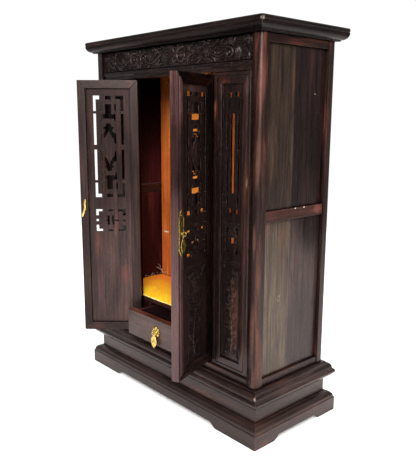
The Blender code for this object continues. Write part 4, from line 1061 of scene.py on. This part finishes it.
# Names that start so, the timber's palette and its finish; the first match counts.
TIMBERS = (
    ("cornice_front", "cornice", dict(gloss=0.32, level=0.08)),
    ("cornice", "cornice", dict(gloss=0.30, level=0.16)),
    ("top_panel", "cornice", {}),
    ("post_front_right", "post", dict(warm_from=0.57, edge_wear_and_highlight=0.9)),
    ("post", "post", dict(warm_from=0.58, edge_wear_and_highlight=0.8)),
    ("side_rail_right_middle", "flame", dict(edge_wear_and_highlight=0.9, warm_from=0.56)),
    ("side_rail", "frame", dict(edge_wear_and_highlight=0.9)),
    ("base", "base", dict(edge_wear_and_highlight=0.9, level=0.36)),
    ("waist", "base", dict(edge_wear_and_highlight=0.5, gloss=0.30, level=0.4)),
    ("nosing", "base", dict(edge_wear_and_highlight=1.0, gloss=0.30, level=0.34)),
    ("sill", "base", dict(edge_wear_and_highlight=0.5)),
    ("drawer_front", "drawer", dict(gloss=0.38, level=0.34, relief=0.15,
                                    second=(("rim", "z", DRAWER_FRONT_RIM, 1.0, 0.75),))),
    ("drawer_box", "maroon", dict(gloss=0.5,
                                  second=(("rim", "z", DRAWER_BOX_RIM, 1.0, 0.75),))),
    ("shelf", "rim", dict(gloss=0.5)),
    ("drawer_guide", "maroon", {}),
    ("niche_back", "amber", dict(gloss=0.5, level=0.2, edge_wear_and_highlight=0.0)),
    ("left_door_board", "door", dict(gloss=0.33, level=0.28)),
    ("left_door", "stile", dict(gloss=0.33, level=0.24)),
    ("right_door_meeting", "edge", dict(gloss=0.28, level=0.5)),
    ("right_door_board", "deep", dict(
        CARVED, face=(math.sin(OPEN["right"]), -math.cos(OPEN["right"]), 0.0))),
    # Painted shade in the hinge corner: the darkest timber, with almost no reflection.
    ("right_door_hinge", "deep", dict(gloss=0.5, level=0.04, edge_wear_and_highlight=0.2)),
    # Painted shade behind the open left door: a duller copy of the right panel's timber.
    ("fixed_panel_left", "deep", dict(level=0.15, face=(0.0, 1.0, 0.0))),
    ("fixed_panel", "deep", dict(CARVED, face=(0.0, 1.0, 0.0),
                                 second=(("frame", "y", -1.0, LEAF_FRAME_FRONT, 0.0),))),
    ("frieze", "deep", dict(gloss=0.34, level=0.32, mottle=0.2, edge_wear_and_highlight=0.9, relief=0.5,
                            relief_span=(FRIEZE_FRONT - 1.8 * MM, FRIEZE_FRONT - 0.3 * MM),
                            face=(0.0, -1.0, 0.0))),
    ("head_rail", "cornice", dict(mottle=0.3, edge_wear_and_highlight=0.9)),
    ("", "frame", {}),
)
# Stains, sapwood, knots and chips, lighter or darker tones, and painted shade and painted light:
# (colour, centre and radii in mm, strength).
MARKS = {
    "niche_back": (
        # Painted shade: darker in the top left corner, under the head beside the left wall.
        ("54200e", (-141, 40, 412), (62, 60, 132), 0.42),
        # Painted light: brighter orange over the middle, where light comes in through the doorway.
        ("ff9636", (-54, 40, 290), (84, 60, 400), 1.0), (1.15, (20, 40, 290), (90, 60, 330), 1.0),
        ("ffecc8", (-131, 41, 184), (12, 20, 1.7), 1.0),
        ("f4ead8", (-126, 41, 402), (2.4, 20, 1.8), 0.9),
        # Painted shade: almost black along the top, under the head rail.
        (0.02, (-30, 40, 424), (66, 60, 34), 1.0)),
    # Painted shade: the lining almost black towards the top of the niche.
    "side_board_left_upper": ((0.10, (-141, 0, 430), (9, 200, 270), 1.0),),
    "side_board_right_upper": (
        ("6a3428", (150, 46, 266), (9, 6, 15), 0.7), (0.75, (150, 40, 350), (20, 40, 120), 0.8),
        (1.75, (150, -50, 285), (40, 34, 105), 0.9),
        ("b8a89c", (146, 31.4, 379), (3, 1.3, 1.2), 0.8)),
    "side_rail_right_middle": (
        ("e8d8d0", (149.2, 15, 256.6), (2.4, 2.3, 1.9), 0.9),
        ("e8d8d0", (149.2, 0, 256.6), (2.4, 2.3, 1.8), 0.8),
        ("7a4234", (149, 38, 252), (6, 16, 9), 0.5)),
    "side_board_right_lower": (
        (0.80, (150, 40, 150), (60, 60, 200), 1.0), (0.66, (150, 12, 268), (40, 62, 80), 0.9),
        ("6a4238", (147, -48, 244), (20, 22, 36), 0.35),
        (0.40, (150, 36, 250), (40, 55, 75), 1.0),
        ("8a745e", (146, -20, 157), (6, 5.0, 7.5), 0.4),
        ("32241c", (146, -20, 157), (5, 3.0, 4.2), 0.9)),
    "post_front_right": (
        ("6a4438", (145, -61, 226), (4.5, 5, 40), 0.42),
        ("6a4438", (144.5, -61, 128), (4.5, 5, 50), 0.42),
        ("7a4e42", (149, -60, 388), (4.5, 9, 58), 0.34),
        ("7a564a", (147.5, -60, 312), (3.5, 9, 45), 0.22),
        (0.30, (138.5, -60, 235), (7, 30, 400), 1.0), (0.40, (140, -60, 76), (10, 12, 26), 1.0)),
    # Painted shade: a darker band over the middle of the edge, between its reflections.
    "right_door_meeting_stile": ((0.40, (94.4, -122, 311), (60, 60, 64), 1.0),),
    "left_door_board": (
        # Painted shade over the upper board and painted light over its lower part.
        (0.52, (-97, -83, 345), (150, 150, 190), 1.0),
        (1.30, (-97, -83, 118), (150, 150, 90), 1.0),
        ("6a3428", (-82, -66, 150), (12, 14, 32), 0.35)),
    # Painted shade under the head rail.
    "right_door_top_rail": ((0.12, (80, -90, 395), (60, 80, 30), 1.0),),
    # Painted shade in the hinge corner.
    "right_door_hinge_stile": ((0.30, (75, -60, 240), (60, 60, 400), 1.0),),
    # Painted light: a lit band along the top of the board.
    "right_door_board": ((4.4, (83, -90, 385), (60, 90, 13), 1.0),),
    # Painted shade towards the top of the stile, as on the board.
    "left_door_hinge_stile": ((0.8, (-80, -63, 300), (90, 90, 190), 1.0),),
    "fixed_panel_right": (
        # Painted shade along the side by the hinge.
        (0.32, (76, -57, 235), (22, 40, 400), 1.0),
        # Painted light: the 2.4 mark lightens the top of the board.
        ("5e3a30", (110, -54, 136), (10, 6, 66), 0.42), (2.4, (106, -53, 384), (60, 30, 14), 1.0),
        ("7a4234", (80, -58, 360), (7, 6, 30), 0.8),
        ("a07868", (128, -58, 285), (4, 6, 16), 0.6)),
    "nosing_front": (("c8b4a8", (160, -69, 58), (7, 7, 4.5), 0.5),),
    "cornice_front": (("a89890", (159, -70, 446), (4, 4, 3.5), 0.5),),
    "cornice_right": (("a89890", (159.5, -69.5, 446), (4, 4, 3.5), 0.5),),
}


def node_wood(name, label="", **more):
    """The timber of a CAD node, its grain along the node's longest side."""
    palette, finish = next(found for start, *found in TIMBERS if name.startswith(start))
    if name.startswith("side_board"):
        front, palette = ("olive", "plum") if name.endswith("upper") else ("tan", "mauve")
        # The left boards reflect less, as painted shade on the lining inside the niche.
        finish = dict(edge_wear_and_highlight=0.2, gloss=0.30, level=0.3 if "right" in name else 0.14,
                      second=((front, "y", -1.0, BOARD_JOINT, 0.75),
                              ("lining", "x", -NICHE_HALF, NICHE_HALF, 0.0)))
    low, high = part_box(name)
    along = "xyz"[max(range(3), key=lambda k: (high - low)[k])]
    return wood("rosewood_" + name + label, palette, along, SHIFTS[name],
                patches=MARKS.get(name, ()), **{**finish, **more})


def dress_frame():
    for name, node in nodes.items():
        if (name in BRASS_NODES or name in ("altar_cloth", "frieze")
                or name.endswith("_board") or name.startswith("fixed_panel")):
            continue
        dress(node, node_wood(name))
        softened(node)


altar_mat(cloth_material())
hem_and_threads()
dress_frame()
carved_frieze(node_wood("frieze"))
carved_boards()
blind_frets()
door_brass("left", brass("brass_left_door", "e3c86a", "8a6a25"))
door_brass("right", brass("brass_right_door"))
drawer_brass(brass("brass_drawer", "dcc06a", "8a6a2a"))


# ------------------------------------------------------------- floor and lights

def backdrop():
    mesh = bpy.data.meshes.new("studio_floor")
    shape = bmesh.new()
    bmesh.ops.create_circle(shape, cap_ends=True, radius=1.25, segments=128)
    shape.to_mesh(mesh)
    shape.free()
    floor = added("studio_floor", mesh)
    p = Paint("floor_paper")
    speck = p.noise(40.0, detail=4.0)
    dress(floor, p.finish(Base_Color=p.ramp(speck, (0.3, "f8f8f7"), (0.7, "fbfbfa")),
                          Roughness=0.9, Specular_IOR_Level=0.1))


def softbox(name, at, toward, size, power):
    wide, high = size
    lamp = having(bpy.data.lights.new(name, "AREA"), shape="RECTANGLE", size=wide,
                  size_y=high, energy=power)
    turn = (Vector(toward) - Vector(at)).to_track_quat("-Z", "Y").to_euler()
    having(added(name, lamp), location=at, rotation_euler=turn, visible_camera=False)


def surroundings(behind, glow, dim, above):
    """White to the eye all round; as light, a pale backdrop behind and a dim room before."""
    world = bpy.data.worlds.new("studio")
    scene.world = world
    sky = Graph(world)

    def fading(value, start, end, low, high):
        return sky.node("MapRange", dict(enumerate((value, start, end, low, high))),
                        interpolation_type="SMOOTHSTEP").outputs[0]

    way = sky.node("TexCoord").outputs["Generated"]
    facing = sky.node("VectorMath", {0: way, 1: Vector(behind).normalized()},
                      operation="DOT_PRODUCT").outputs["Value"]
    rear = fading(facing, -0.1, 0.85, dim, glow)
    high = fading(sky.node("SeparateXYZ", {0: way}).outputs["Z"], 0.25, 1.0, 0.0, above)
    total = sky.node("Math", {0: rear, 1: high}, operation="ADD").outputs[0]
    seen = sky.node("LightPath").outputs["Is Camera Ray"]
    level = sky.node("Mix", {0: seen, 2: total, 3: 1.05}).outputs[0]
    light = sky.node("Background", {"Color": (1.0, 1.0, 1.0, 1.0), "Strength": level})
    sky.node("OutputWorld", {0: light.outputs[0]})


def studio():
    backdrop()
    surroundings((-0.727, 0.66, 0.25), 0.9, 0.08, 0.45)
    softbox("overhead_box", (0.1, 0.1, 2.2), (0.0, 0.0, 0.0), (2.4, 2.4), 55.0)
    softbox("front_box", (1.2, -1.15, 1.0), (0.0, 0.0, 0.18), (0.8, 0.9), 56.0)
    scene.view_settings.view_transform = "Standard"


EYE = (0.5513, -0.4937, 0.3535)
AHEAD, DOWN = (-0.727007, 0.660136, -0.188894), (0.143381, -0.123084, -0.981984)


def camera():
    data = having(bpy.data.cameras.new("camera"), sensor_width=36.0, lens=45.763,
                  clip_start=0.01, clip_end=50.0)
    eye = added("camera", data)
    ahead, down = Vector(AHEAD).normalized(), Vector(DOWN)
    up = (-down - ahead * (-down).dot(ahead)).normalized()
    turned = Matrix((ahead.cross(up), up, -ahead)).transposed()
    eye.matrix_world = Matrix.Translation(on_case(*EYE)) @ turned.to_4x4()
    scene.camera = eye


studio()
camera()
